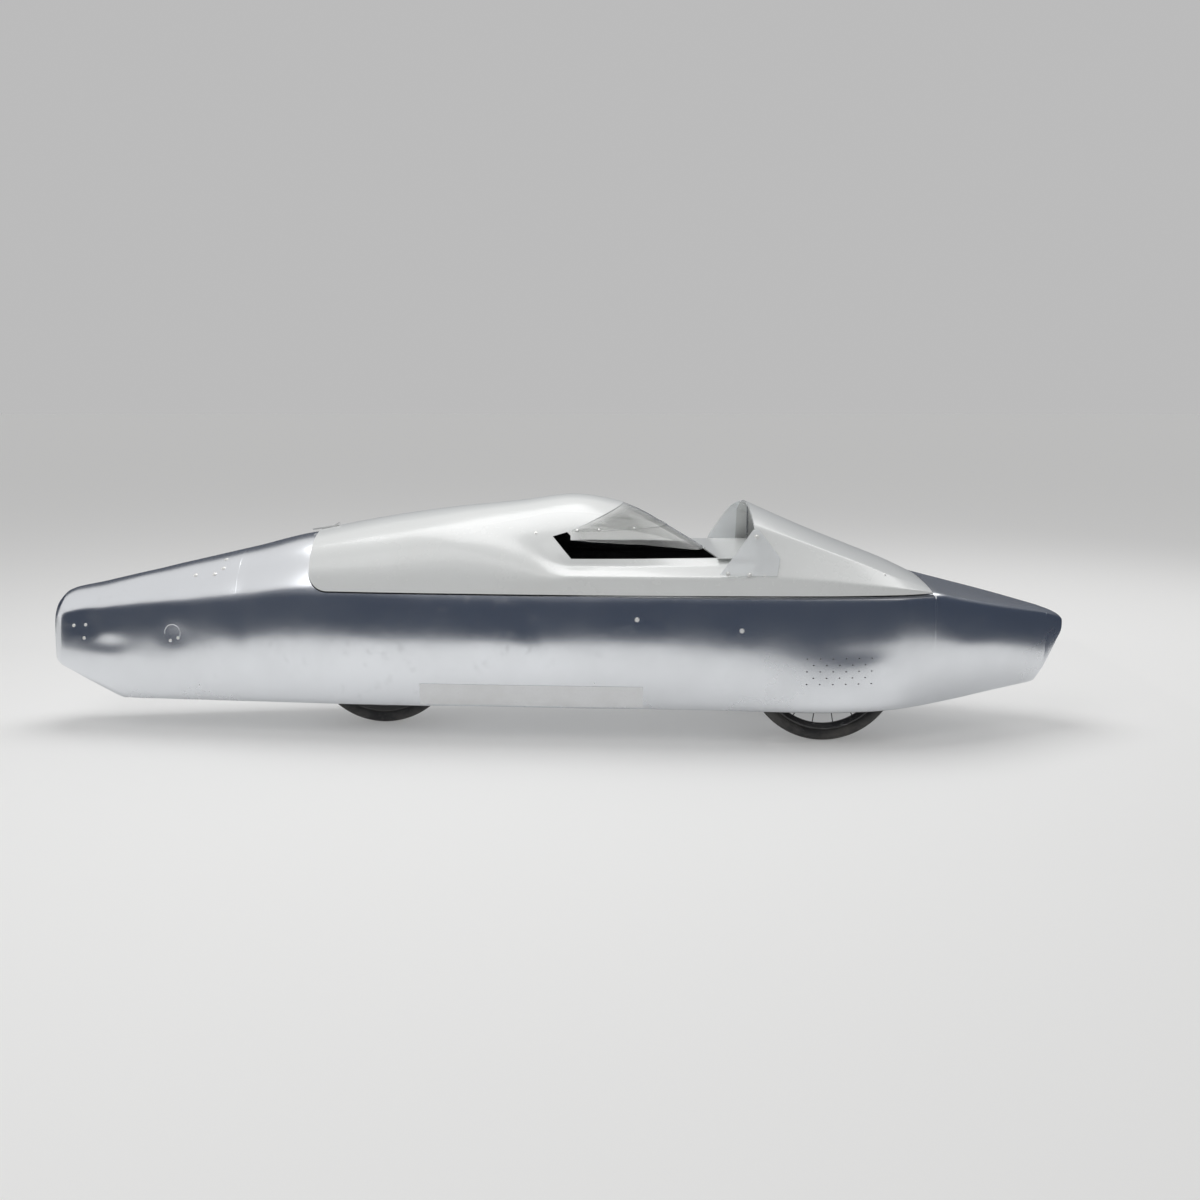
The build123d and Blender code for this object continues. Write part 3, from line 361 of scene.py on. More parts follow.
@dataclass
class Wiring:
    """A node tree with short calls to add and join its nodes."""

    tree: Tree

    def add(self, kind: str, settings: dict[str, object] | None = None, **values: object) -> bpy.types.Node:
        """Adds a node.

        Args:
            kind: The node's type.
            settings: Plain attributes to set on it.
            **values: Socket names (spaces written as _) and a number, colour or output socket for each.

        Returns:
            The node.
        """
        node = self.tree.nodes.new(kind)
        for key, value in (settings or {}).items():
            setattr(node, key, value)
        for key, value in values.items():
            self.feed(node.inputs[key.replace("_", " ")], value)
        return node

    def feed(self, socket: Socket, value: object) -> None:
        """Sets a socket to a value, or links it to an output socket."""
        if isinstance(value, Socket):
            self.tree.links.new(value, socket)
        else:
            socket.default_value = value

    def use(self, group: Tree, **values: object) -> Sockets:
        """Adds a shared group and returns its outputs."""
        return self.add("ShaderNodeGroup", {"node_tree": group}, **values).outputs

    def math(self, operation: str, *values: object) -> Socket:
        """Adds a Math node and returns its output."""
        node = self.add("ShaderNodeMath", {"operation": operation})
        for socket, value in zip(node.inputs, values):
            self.feed(socket, value)
        return node.outputs[0]

    def times(self, first: object, second: object) -> Socket:
        """Multiplies two values."""
        return self.math("MULTIPLY", first, second)

    def mix(self, factor: object, first: object, second: object) -> Socket:
        """Adds a colour mix and returns its output."""
        node = self.add("ShaderNodeMix", {"data_type": "RGBA"})
        for index, value in ((0, factor), (6, first), (7, second)):
            self.feed(node.inputs[index], value)
        return node.outputs[2]

    def ramp(self, factor: Socket, low: float, high: float) -> Socket:
        """Stretches a value from low..high to 0..1, held at its ends, and returns the result."""
        return self.add("ShaderNodeMapRange", {"clamp": True}, Value=factor, From_Min=low, From_Max=high).outputs[0]

    def noise(self, where: Socket, scale: object, detail: float = 3.0, rough: float = 0.55) -> Socket:
        """Adds a noise texture and returns its value."""
        return self.add("ShaderNodeTexNoise", Vector=where, Scale=scale, Detail=detail, Roughness=rough).outputs["Fac"]

    def where(self) -> Socket:
        """Returns the object coordinates."""
        return self.add("ShaderNodeTexCoord").outputs["Object"]

    def parts(self, vector: Socket) -> Sockets:
        """Splits a vector and returns its X, Y and Z sockets."""
        return self.add("ShaderNodeSeparateXYZ", Vector=vector).outputs


def new_group(
    title: str, inputs: dict[str, float | Row], outputs: Sequence[str]
) -> tuple[Wiring, dict[str, Socket], Sockets]:
    """Starts a shared shader group.

    Args:
        title: The group's name.
        inputs: Its input sockets and their values; a value of four numbers makes a colour socket.
        outputs: Its output sockets, numbers except for Color.

    Returns:
        The group's wiring, its inputs by name and the sockets of its output node.
    """
    tree = bpy.data.node_groups.new(title, "ShaderNodeTree")
    number, colour = "NodeSocketFloat", "NodeSocketColor"
    for name, value in inputs.items():
        kind = colour if isinstance(value, tuple) else number
        tree.interface.new_socket(name=name, in_out="INPUT", socket_type=kind).default_value = value
    for name in outputs:
        tree.interface.new_socket(name=name, in_out="OUTPUT", socket_type=colour if name == "Color" else number)
    given = tree.nodes.new("NodeGroupInput").outputs
    return Wiring(tree), {s.name: s for s in given if s.name}, tree.nodes.new("NodeGroupOutput").inputs


@lru_cache(maxsize=None)
def soiling() -> Tree:
    """Builds the group that soils a colour: blotches, low splash dirt and dust on upward faces."""
    clean, soil = (0.8, 0.8, 0.8, 1), (0.3, 0.27, 0.22, 1)
    wiring, given, out = new_group(
        "Soiling", {"Clean": clean, "Soil": soil, "Amount": 0.3, "Scale": 4.0, "Shine": 0.3}, ("Color", "Roughness")
    )
    where = wiring.where()
    blotch = wiring.ramp(wiring.noise(where, given["Scale"], 6.0, 0.62), 0.42, 0.78)
    speck = wiring.ramp(wiring.noise(where, wiring.times(given["Scale"], 14.0), 2.0, 0.5), 0.56, 0.72)
    low = wiring.ramp(wiring.parts(where)["Z"], 0.30, 0.05)
    level = wiring.parts(wiring.add("ShaderNodeNewGeometry").outputs["Normal"])["Z"]
    dust = wiring.times(wiring.ramp(level, 0.5, 1.0), 0.35)
    both = wiring.math("MAXIMUM", wiring.times(blotch, 0.6), wiring.times(speck, 0.35))
    both = wiring.math("MAXIMUM", both, wiring.times(low, blotch))
    mask = wiring.times(wiring.math("MAXIMUM", both, dust), given["Amount"])
    wiring.feed(out["Color"], wiring.mix(mask, given["Clean"], given["Soil"]))
    wiring.feed(out["Roughness"], wiring.math("ADD", given["Shine"], wiring.times(mask, 0.45)))
    return wiring.tree


@lru_cache(maxsize=None)
def grain() -> Tree:
    """Builds the group that roughens a normal with fine grain over broad waves."""
    wiring, given, out = new_group(
        "Grain", {"Scale": 300.0, "Fine": 0.0004, "Waves": 0.002, "Wave Scale": 9.0}, ("Height",)
    )
    where = wiring.where()
    fine = wiring.times(wiring.noise(where, given["Scale"], 2.0), given["Fine"])
    broad = wiring.times(wiring.noise(where, given["Wave Scale"], 2.0, 0.4), given["Waves"])
    wiring.feed(out["Height"], wiring.math("ADD", fine, broad))
    return wiring.tree


@lru_cache(maxsize=None)
def scuffs() -> Tree:
    """Builds the group of long fine scratches that run mostly along the vehicle."""
    wiring, given, out = new_group("Scuffs", {"Density": 0.5, "Scale": 60.0}, ("Mask",))
    where = wiring.where()
    lines: list[Socket] = []
    for lean, thin in ((0.05, 6.0), (-0.3, 4.0)):
        turned = wiring.add("ShaderNodeMapping", Vector=where, Rotation=(0.0, lean, lean), Scale=(0.12, thin, thin))
        lines.append(wiring.ramp(wiring.noise(turned.outputs[0], given["Scale"], 1.0, 0.3), 0.68, 0.76))
    patchy = wiring.ramp(wiring.noise(where, 3.1, 3.0), 0.45, 0.7)
    wiring.feed(out["Mask"], wiring.times(wiring.times(wiring.math("MAXIMUM", *lines), patchy), given["Density"]))
    return wiring.tree


@lru_cache(maxsize=None)
def weave() -> Tree:
    """Builds the group of a plain woven cloth: crossing threads as a colour mask and a height."""
    wiring, given, out = new_group("Weave", {"Threads": 900.0}, ("Mask", "Height"))
    at = wiring.parts(wiring.where())
    warp = wiring.math("SINE", wiring.times(wiring.math("ADD", at["X"], at["Z"]), given["Threads"]))
    weft = wiring.math("SINE", wiring.times(at["Y"], given["Threads"]))
    crossed = wiring.times(warp, weft)
    wiring.feed(out["Mask"], wiring.ramp(crossed, -1.0, 1.0))
    wiring.feed(out["Height"], wiring.times(crossed, 0.0003))
    return wiring.tree


@dataclass(frozen=True)
class Coat:
    """Base of the finishes: one material, made on first use."""

    title: str

    def material(self) -> Material:
        """Returns the finish's material."""
        made = bpy.data.materials.get(self.title)
        if made is None:
            made = self.blank()
            self.shade(Wiring(made.node_tree), made.node_tree.nodes["Principled BSDF"].inputs)
        return made

    def blank(self) -> Material:
        """Makes the material that the finish starts from."""
        made = bpy.data.materials.new(self.title)
        made.use_nodes = True
        return made

    def shade(self, wiring: Wiring, shader: Sockets) -> None:
        """Feeds the sockets of the material's shader."""
        raise NotImplementedError


@dataclass(frozen=True)
class Finish(Coat):
    """An opaque finish with its soiling, grain and wear."""

    clean: Colour
    soil: Colour = (0.22, 0.20, 0.17)
    soiled: float = 0.35
    blotches: float = 4.0
    shine: float = 0.35
    fine_scale: float = 300.0
    fine: float = 0.0002
    waves: float = 0.0
    wave_scale: float = 9.0
    bump: float = 0.6
    scratches: float = 0.0
    sockets: tuple[tuple[str, float], ...] = ()

    def shaded(self, wiring: Wiring) -> tuple[Socket, Socket, Socket]:
        """Lays the shared groups into a material and returns its colour, roughness and height."""
        colours = {"Clean": (*self.clean, 1), "Soil": (*self.soil, 1)}
        soil = wiring.use(soiling(), **colours, Amount=self.soiled, Scale=self.blotches, Shine=self.shine)
        waves = {"Waves": self.waves, "Wave_Scale": self.wave_scale}
        rough = wiring.use(grain(), Scale=self.fine_scale, Fine=self.fine, **waves)
        marks = wiring.use(scuffs(), Density=self.scratches)
        return wiring.mix(marks["Mask"], soil["Color"], (0.75, 0.76, 0.78, 1)), soil["Roughness"], rough["Height"]

    def shade(self, wiring: Wiring, shader: Sockets) -> None:
        """Feeds colour, roughness, bump and the finish's own socket values."""
        colour, roughness, height = self.shaded(wiring)
        wiring.feed(shader["Base Color"], colour)
        wiring.feed(shader["Roughness"], roughness)
        bump = wiring.add("ShaderNodeBump", Strength=self.bump, Distance=1.0, Height=height)
        wiring.feed(shader["Normal"], bump.outputs["Normal"])
        for name, value in self.sockets:
            wiring.feed(shader[name], value)


@dataclass(frozen=True)
class Cloth(Finish):
    """A woven cloth finish."""

    thread: Colour = (0.16, 0.17, 0.19)

    def shaded(self, wiring: Wiring) -> tuple[Socket, Socket, Socket]:
        """Adds the weave to the colour and the height."""
        colour, roughness, height = super().shaded(wiring)
        cloth = wiring.use(weave())
        colour = wiring.mix(wiring.times(cloth["Mask"], 0.6), colour, (*self.thread, 1))
        return colour, roughness, wiring.math("ADD", height, cloth["Height"])


@dataclass(frozen=True)
class Clear(Coat):
    """Clear plastic sheet with fine scratches, hazed or milky by its roughness and transmission."""

    tint: Colour
    rough: float
    transmission: float

    def shade(self, wiring: Wiring, shader: Sockets) -> None:
        """Feeds the sheet's tint, scratched roughness and transmission."""
        marks = wiring.use(scuffs(), Density=0.5)
        wiring.feed(shader["Base Color"], (*self.tint, 1))
        wiring.feed(shader["Roughness"], wiring.math("ADD", wiring.times(marks["Mask"], 0.3), self.rough))
        wiring.feed(shader["IOR"], 1.25)
        wiring.feed(shader["Transmission Weight"], self.transmission)


@dataclass(frozen=True)
class Fade(Coat):
    """A copy of a finish whose cover fades out to nothing, by the mesh's fade attribute."""

    coat: Finish

    def blank(self) -> Material:
        """Copies the finish's material."""
        made = self.coat.material().copy()
        made.name = self.title
        return made

    def shade(self, wiring: Wiring, shader: Sockets) -> None:
        """Takes the cover from the attribute."""
        wiring.feed(shader["Alpha"], wiring.add("ShaderNodeAttribute", {"attribute_name": "fade"}).outputs["Fac"])


@dataclass(frozen=True)
class Plain(Coat):
    """A matt surface of the studio that may glow a little, so that it looks pale."""

    colour: Colour
    glow: float = 0.0

    def shade(self, wiring: Wiring, shader: Sockets) -> None:
        """Feeds the colour, a matt roughness and the glow."""
        for name in ("Base Color", "Emission Color"):
            wiring.feed(shader[name], (*self.colour, 1))
        wiring.feed(shader["Roughness"], 0.9)
        wiring.feed(shader["Emission Strength"], self.glow)


METAL = (("Metallic", 1.0),)
GLOSS = (("Coat Weight", 0.25), ("Coat Roughness", 0.12))

BARE_METAL = Finish(
    "bare beaten aluminium", (0.84, 0.86, 0.89), (0.56, 0.57, 0.58), soiled=0.42, blotches=2.1, shine=0.20,
    fine_scale=260.0, fine=0.00002, waves=0.0007, sockets=METAL,
)
WELD_METAL = Finish(
    "ground weld aluminium", (0.86, 0.88, 0.90), (0.50, 0.51, 0.53), soiled=0.5, blotches=30.0, shine=0.3,
    fine_scale=240.0, fine=0.0003, sockets=METAL,
)
# The body's inner side is darkened well below bare aluminium: painted shade for the dark inside of the body.
INNER_SHADED_METAL = Finish(
    "dull inner side of the sheet", (0.10, 0.103, 0.11), soiled=0.5, shine=0.55, sockets=(("Metallic", 0.6),)
)
# The fairing's inner side is near black: painted shade for the dark inside seen through the openings.
INNER_SHADE_BLACK = Finish(
    "near-black inner side, painted shade", (0.018, 0.018, 0.021), (0.05, 0.05, 0.05), soiled=0.4, shine=0.6, fine_scale=240.0, fine=0.0003
)
MILL_METAL = Finish(
    "mill finish aluminium", (0.52, 0.53, 0.55), soiled=0.6, shine=0.34, fine=0.0003, scratches=0.5, sockets=METAL
)
# The rims are near black: painted shade for the dark under the body, where the wheels stand.
RIM_SHADE_BLACK = Finish(
    "satin black rim, painted shade", (0.022, 0.022, 0.025), (0.16, 0.15, 0.13), soiled=0.4, shine=0.32, scratches=0.25, sockets=GLOSS
)
BRIGHT_STEEL = Finish(
    "bright fastener steel", (0.70, 0.70, 0.70), (0.35, 0.33, 0.30), soiled=0.4, blotches=22.0, shine=0.22,
    fine_scale=700.0, fine=0.0001, scratches=0.3, sockets=METAL,
)
CHAIN_METAL = Finish(
    "oiled chain steel", (0.30, 0.29, 0.28), (0.05, 0.045, 0.04), soiled=0.9, blotches=60.0, shine=0.34, sockets=METAL
)
WHITE = Finish(
    "white laminate, slightly soiled", (0.74, 0.755, 0.75), (0.50, 0.49, 0.45), soiled=0.22, shine=0.25,
    fine_scale=90.0, fine=0.0001, waves=0.0009, wave_scale=5.0, bump=0.5, sockets=GLOSS,
)
BLACK = Finish(
    "satin black paint", (0.030, 0.031, 0.034), (0.14, 0.13, 0.12), soiled=0.3, shine=0.36, scratches=0.12,
    sockets=GLOSS,
)
GREY_ENAMEL = Finish(
    "grey enamel", (0.20, 0.22, 0.25), shine=0.33, fine_scale=140.0, fine=0.0005, scratches=0.1, sockets=GLOSS
)
SEAT_SHEET = Finish(
    "dark seat laminate", (0.045, 0.046, 0.05), (0.16, 0.15, 0.14), soiled=0.25, shine=0.3, fine_scale=500.0,
    fine=0.0003, sockets=GLOSS,
)
RUBBER = Finish(
    "worn tyre rubber", (0.028, 0.028, 0.030), (0.22, 0.21, 0.19), soiled=0.55, blotches=9.0, shine=0.62,
    fine_scale=380.0, fine=0.0006,
)
GRIP = Finish(
    "matt grip rubber", (0.035, 0.035, 0.036), (0.15, 0.14, 0.13), soiled=0.4, shine=0.7, fine_scale=600.0, fine=0.0006
)
STICKER = Finish(
    "blank pale strip", (0.80, 0.81, 0.82), (0.50, 0.49, 0.47), blotches=12.0, shine=0.32, fine=0.00005, scratches=0.2
)
PAD_CLOTH = Cloth(
    "dark woven pad cloth", (0.055, 0.058, 0.066), (0.17, 0.16, 0.15), shine=0.82,
    sockets=(("Sheen Weight", 0.35), ("Sheen Roughness", 0.5)),
)
PIPING = Finish("pad piping", (0.03, 0.03, 0.033), soiled=0.3, shine=0.6, fine=0.0003)
VENT_MARK = Finish("shaded vent opening", (0.19, 0.19, 0.20), soiled=0.1, shine=0.8)
# Zinc plate, made whitish and only half metallic so that the fasteners and the latch show as bright spots: partly
# painted highlight.
ZINC_AND_GLINT = Finish(
    "zinc plate whitened as painted glint", (0.90, 0.90, 0.88), (0.5, 0.49, 0.46), soiled=0.3, blotches=40.0, shine=0.34,
    sockets=(("Metallic", 0.45),),
)
CLEAR = Clear("clear sheet, slightly hazed", (0.80, 0.81, 0.80), 0.07, 0.90)
MILKY = Clear("milky worn sheet", (0.90, 0.92, 0.93), 0.30, 0.42)
WHITE_FADE = Fade("white fading to clear", WHITE)

SLOT_FINISHES: dict[str, Coat] = {
    "bare_aluminium": BARE_METAL,
    "white_paint": WHITE,
    "clear_sheet": CLEAR,
    "bright_steel": BRIGHT_STEEL,
    "tyre": RUBBER,
    "rim_alloy": RIM_SHADE_BLACK,
    "frame_alloy": MILL_METAL,
    "black_paint": BLACK,
    "grip_rubber": GRIP,
    "seat_laminate": SEAT_SHEET,
    "pad_fabric": PAD_CLOTH,
    "drive_case": GREY_ENAMEL,
    "chain_steel": CHAIN_METAL,
}
OWN_FINISHES: dict[str, Coat] = {"gusset_left": MILKY, "gusset_right": MILKY, "lid_latch": ZINC_AND_GLINT}


def dress_frame() -> None:
    """Gives every CAD node the finish of its material slot, and a few nodes their own."""
    slots = {part["node"]: part["material_slot"] for part in frame["record"]["subparts"]}
    for name, node in frame["nodes"].items():
        finish = OWN_FINISHES.get(name, SLOT_FINISHES[slots[name]]).material()
        for place in node.material_slots:
            place.material = finish
        if not node.material_slots:
            node.data.materials.append(finish)
    log.info("dressed %d nodes of the frame", len(frame["nodes"]))


def handed_in(
    piece: Piece, body: Body, finish: Coat, replaces: Sequence[str] = (), crease: float = 35.0
) -> Piece:
    """Finishes a new piece: material, shading, the body it rides on and the nodes it stands for.

    Args:
        piece: The new object.
        body: The body it rides on.
        finish: Its finish, unless it has its materials already.
        replaces: The nodes that it replaces.
        crease: Edges sharper than this many degrees stay sharp.

    Returns:
        The piece.
    """
    mesh = piece.data
    if not mesh.materials:
        mesh.materials.append(finish.material())
    mesh.polygons.foreach_set("use_smooth", [True] * len(mesh.polygons))
    mesh.set_sharp_from_angle(angle=math.radians(crease))
    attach(piece, body.value)
    if replaces:
        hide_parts(*replaces)
    log.info("%s: %d faces on %s", piece.name, len(mesh.polygons), body.value)
    return piece


# Beaten aluminium body


@dataclass
class BodySkin:
    """The aluminium body: tail, tub, nose and nose cap, as smooth beaten sheet."""

    tail_x: float = -1.650
    # x, z of the underside's edge, with the tail's slope and the nose's chin
    underside: tuple[Flat, ...] = (
        (-1.650, 0.229), (-1.420, 0.105), (1.530, 0.105), (1.546, 0.152),
        (1.573, 0.199), (1.604, 0.249), (1.624, 0.292), (1.650, 0.318),
    )
    tail_joint_x: float = -1.020
    nose_joint_x: float = 1.155
    nose_seam_x: float = 1.161
    cap_x: float = 1.570
    # from where to where the cap's rings stand, and how many: its cone and its closer rounded tip
    cap_rings: tuple[tuple[float, float, int], ...] = ((1.570, 1.636, 9), (1.638, 1.6495, 10))
    rim_z: float = 0.472
    opening_rear_x: float = -0.785
    corner_r: float = 0.062
    wall: float = 0.006
    flange: float = 0.024
    # gap between the flange and the skin's fair line, its sink below the rim, and its rounded inner edge
    flange_gap: float = 0.0035
    flange_sink: float = 0.0005
    flange_edge: float = 0.003
    tail_bulge: float = 0.010
    # how large each ring of the bulged tail end is
    tail_shares: Row = (0.03, 0.1, 0.2, 0.32, 0.45, 0.58, 0.7, 0.8, 0.88, 0.94, 0.98)
    step: float = 0.012
    # offset along X and lift of the weld line's rows
    seam_rows: tuple[Flat, ...] = (
        (-0.003, -0.0005), (-0.0008, -0.00002), (0.0, 0.00002), (0.0008, -0.00002), (0.003, -0.0005),
    )
    # lower and upper end of the slots' cutters
    slot_cut: Flat = (0.02, 0.13)
    # x, y, length, width, corner radius
    wheel_slots: tuple[Row, ...] = (
        (0.830, 0.236, 0.444, 0.128, 0.018),
        (0.830, -0.236, 0.444, 0.128, 0.018),
        (-0.587, 0.0, 0.430, 0.074, 0.036),
    )
    # height and scale of the hammer waves: broad, fine, and rough on the tail
    waves: tuple[Flat, Flat, Flat] = ((0.0007, 4.5), (0.00016, 17.0), (0.0022, 11.0))
    # x, z, half length, half height, depth
    dents: tuple[Row, ...] = (
        (-1.52, 0.36, 0.05, 0.04, 0.006),
        (-1.45, 0.29, 0.06, 0.03, 0.004),
        (-1.33, 0.40, 0.05, 0.05, 0.003),
        (-1.23, 0.33, 0.05, 0.04, 0.003),
        (-1.00, 0.40, 0.03, 0.12, 0.002),
        (-0.70, 0.42, 0.09, 0.03, 0.0015),
        (-0.09, 0.40, 0.06, 0.05, 0.003),
        (-0.06, 0.33, 0.03, 0.06, 0.002),
        (0.30, 0.43, 0.12, 0.025, 0.002),
        (0.50, 0.42, 0.05, 0.02, 0.002),
        (0.92, 0.30, 0.10, 0.03, 0.0015),
        (1.30, 0.36, 0.08, 0.05, 0.002),
    )
    # x, floor_y, floor_z, mid_y, mid_z, rim_y, rim_z, top_z; so are the cap's rows
    rows: tuple[Row, ...] = (
        (-1.650, 0.062, 0.190, 0.078, 0.290, 0.068, 0.362, 0.405),
        (-1.612, 0.092, 0.095, 0.115, 0.272, 0.104, 0.378, 0.4460),
        (-1.585, 0.099, 0.095, 0.122, 0.273, 0.112, 0.383, 0.4561),
        (-1.560, 0.102, 0.095, 0.127, 0.274, 0.116, 0.386, 0.4618),
        (-1.300, 0.137, 0.095, 0.170, 0.286, 0.160, 0.415, 0.5205),
        (-1.000, 0.178, 0.095, 0.220, 0.300, 0.211, 0.448, 0.5885),
        (-0.785, 0.207, 0.095, 0.256, 0.310, 0.248, 0.472, 0.637),
        (-0.500, 0.240, 0.095, 0.296, 0.315, 0.286, 0.472, 0.655),
        (-0.200, 0.263, 0.095, 0.326, 0.320, 0.316, 0.472, 0.660),
        (0.100, 0.285, 0.095, 0.347, 0.320, 0.338, 0.472, 0.655),
        (0.400, 0.308, 0.095, 0.364, 0.320, 0.354, 0.472, 0.638),
        (0.650, 0.340, 0.095, 0.373, 0.320, 0.360, 0.472, 0.616),
        (0.820, 0.360, 0.095, 0.372, 0.320, 0.357, 0.472, 0.600),
        (0.940, 0.345, 0.096, 0.362, 0.320, 0.349, 0.472, 0.580),
        (1.040, 0.310, 0.099, 0.343, 0.320, 0.335, 0.472, 0.552),
        (1.155, 0.240, 0.106, 0.304, 0.318, 0.297, 0.472, 0.500),
        (1.260, 0.188, 0.115, 0.257, 0.309, 0.250, 0.449, 0.474),
        (1.370, 0.138, 0.128, 0.205, 0.300, 0.200, 0.423, 0.447),
        (1.470, 0.095, 0.140, 0.152, 0.290, 0.147, 0.402, 0.420),
        (1.570, 0.052, 0.152, 0.096, 0.280, 0.092, 0.382, 0.392),
    )
    cap_rows: tuple[Row, ...] = (
        (1.570, 0.052, 0.152, 0.096, 0.280, 0.092, 0.382, 0.392),
        (1.625, 0.030, 0.272, 0.056, 0.318, 0.052, 0.362, 0.370),
        (1.640, 0.019, 0.302, 0.036, 0.327, 0.033, 0.352, 0.358),
        (1.6495, 0.001, 0.333, 0.001, 0.334, 0.001, 0.335, 0.336),
    )
    skins: list[Piece] = field(default_factory=list)

    def ring(self, row: Sequence[float], soft: int = 3) -> Ring:
        """Returns the body's closed cross-section for one row of measures, with its corners softened."""
        x, floor_y, floor_z, mid_y, mid_z, rim_y, rim_z, top_z = row
        level = max(floor_z, read(self.underside, x))
        side = arc((floor_y, floor_z), (mid_y, mid_z), (rim_y, rim_z), 60)
        kept = [p for p in side if p[1] > level + 1e-5]
        corner = (read([(z, y) for y, z in side], level), level)
        crest = over_top((rim_y, rim_z), top_z)
        half = along([(0.0, level), corner], 15)[:-1] + along([corner, *kept], 29)[:-1] + along(crest, 27)
        return section(x, half, soft, closed=True)

    def rings(self, start: float, end: float, step: float) -> list[Ring]:
        """Returns the body's cross-sections from start to end, about a step apart."""
        return [self.ring(row) for row in stations(self.rows, start, end, step)]

    def beaten(self, place: Vector) -> float:
        """Returns how far the sheet lies inside its fair line: hammer waves, and the dents of the right side."""
        (broad, broad_scale), (fine, fine_scale), (rough, rough_scale) = self.waves
        tail = min(1.0, max(0.0, (-place.x - 1.05) / 0.4))
        broad *= noise.noise(place * broad_scale) + 1
        fine *= noise.noise(place * fine_scale + Vector((7, 3, 1))) + 1
        rough *= tail * (noise.noise(place * rough_scale) + 0.6)
        dented = 0.0
        for x, z, half_x, half_z, depth in self.dents if place.y < -0.02 else ():
            far = ((place.x - x) / half_x) ** 2 + ((place.z - z) / half_z) ** 2
            dented += depth * math.exp(-far) if far < 9 else 0.0
        return -(broad + fine + max(rough, 0.0) + dented)

    def sheet(self, name: str, rings: Sequence[Ring]) -> Piece:
        """Skins rings and beats the sheet."""
        piece = grid_piece(name, rings)
        moved = [v.co + v.normal * self.beaten(v.co) for v in piece.data.vertices]
        piece.data.vertices.foreach_set("co", np.array(moved, np.float32).ravel())
        piece.data.update()
        return piece

    def tail(self) -> Piece:
        """Builds the tail with its slightly bulged rear end."""
        corner_x = self.tail_x + 4 * self.tail_bulge
        corner = self.rings(self.tail_x + self.tail_bulge, corner_x, self.step / 4)
        middle = sum(corner[0], Vector()) / len(corner[0])
        end: list[Ring] = []
        for share in self.tail_shares:
            back = self.tail_bulge * (1 - share ** 2.2)
            end.append([
                Vector((p.x - back, middle.y + (p.y - middle.y) * share, middle.z + (p.z - middle.z) * share))
                for p in corner[0]
            ])
        sheet = self.sheet("tail_sheet", end + corner[:-1] + self.rings(corner_x, self.tail_joint_x, self.step))
        close_ends(sheet, self.tail_x - self.step, self.tail_x + self.step)
        return sheet

    def cap(self) -> Piece:
        """Builds the rounded tip of the nose."""
        places = np.concatenate([np.linspace(*run) for run in self.cap_rings])
        tip = self.sheet("nose_tip_sheet", [self.ring(between(self.cap_rows, x), soft=2) for x in places])
        close_ends(tip, places[0] - self.step, places[-1] + self.step)
        return tip

    def opening_cutter(self) -> Piece:
        """Makes the cutter of the lid's opening, with its rounded rear corner."""
        corner = bend((self.opening_rear_x + self.corner_r, self.rim_z + self.corner_r), self.corner_r, 270, -90, 16)
        far, high = self.nose_joint_x + 0.05, 0.9
        return across_prism([(far, self.rim_z), *corner, (self.opening_rear_x, high), (far, high)])

    def slot_cutter(self, x: float, y: float, length: float, width: float, corner_r: float) -> Piece:
        """Makes the cutter of one wheel slot in the floor."""
        outline: list[Flat] = []
        for across, up, start in ((1, 1, 0), (-1, 1, 90), (-1, -1, 180), (1, -1, 270)):
            middle = (x + across * (length / 2 - corner_r), y + up * (width / 2 - corner_r))
            outline += bend(middle, corner_r, start, 90, 6)
        low, high = self.slot_cut
        return prism([Vector((*corner, low)) for corner in outline], [Vector((*corner, high)) for corner in outline])

    def rim_flange(self) -> Piece:
        """Builds the flat flange round the opening, inside the skin's upper edge."""
        top, low, edge = self.rim_z - self.flange_sink, self.rim_z - self.wall, self.flange_edge
        shape = Shape()
        for hand in (1, -1):
            rings: list[Ring] = []
            for row in stations(self.rows, self.opening_rear_x + self.corner_r, self.nose_joint_x, self.step):
                outer = row[5] - self.flange_gap
                inner = outer - self.flange - self.wall
                profile = ((outer, top), (inner + edge, top), (inner, self.rim_z - edge), (inner, low), (outer, low))
                rings.append([Vector((row[0], hand * y, z)) for y, z in profile])
            shape.skin(rings, ends=(True, True))
        return welded(shape.piece("rim_flange"))

    def seam(self, name: str, x: float) -> Piece:
        """Builds the nearly flush weld line round the body at X."""
        ring = self.ring(between(self.rows, x))
        middle = sum(ring, Vector()) / len(ring)
        rows: list[Ring] = []
        for across, lift in self.seam_rows:
            row: Ring = []
            for before, point, after in zip(ring[-1:] + ring[:-1], ring, ring[1:] + ring[:1]):
                normal = Vector((0, after.z - before.z, before.y - after.y)).normalized()
                normal = normal if normal.dot(point - middle) > 0 else -normal
                height = lift * (1 + 0.3 * noise.noise(point * 90.0)) + self.beaten(point)
                row.append(Vector((x + across, point.y, point.z)) + normal * height)
            rows.append(row)
        return grid_piece(name, rows)

    def build(self) -> None:
        """Builds and dresses the whole body."""
        tail = self.tail()
        tub = self.sheet("tub_sheet", self.rings(self.tail_joint_x, self.nose_joint_x, self.step))
        nose = self.sheet("nose_sheet", self.rings(self.nose_joint_x, self.cap_x, self.step))
        for piece in (tail, tub, nose):
            thicken(piece, self.wall, BARE_METAL, INNER_SHADED_METAL)
        cut(tub, [self.opening_cutter(), *(self.slot_cutter(*slot) for slot in self.wheel_slots)])
        for piece, node in ((tail, "hull_tail"), (tub, "hull_tub"), (nose, "hull_nose"), (self.cap(), "nose_cap")):
            self.skins.append(handed_in(piece, Body.CHASSIS, BARE_METAL, [node]))
        handed_in(self.rim_flange(), Body.CHASSIS, MILL_METAL)
        for name, x in (("tail_seam", self.tail_joint_x), ("nose_seam", self.nose_seam_x)):
            handed_in(self.seam(name, x), Body.CHASSIS, BARE_METAL)


# White lid and hood


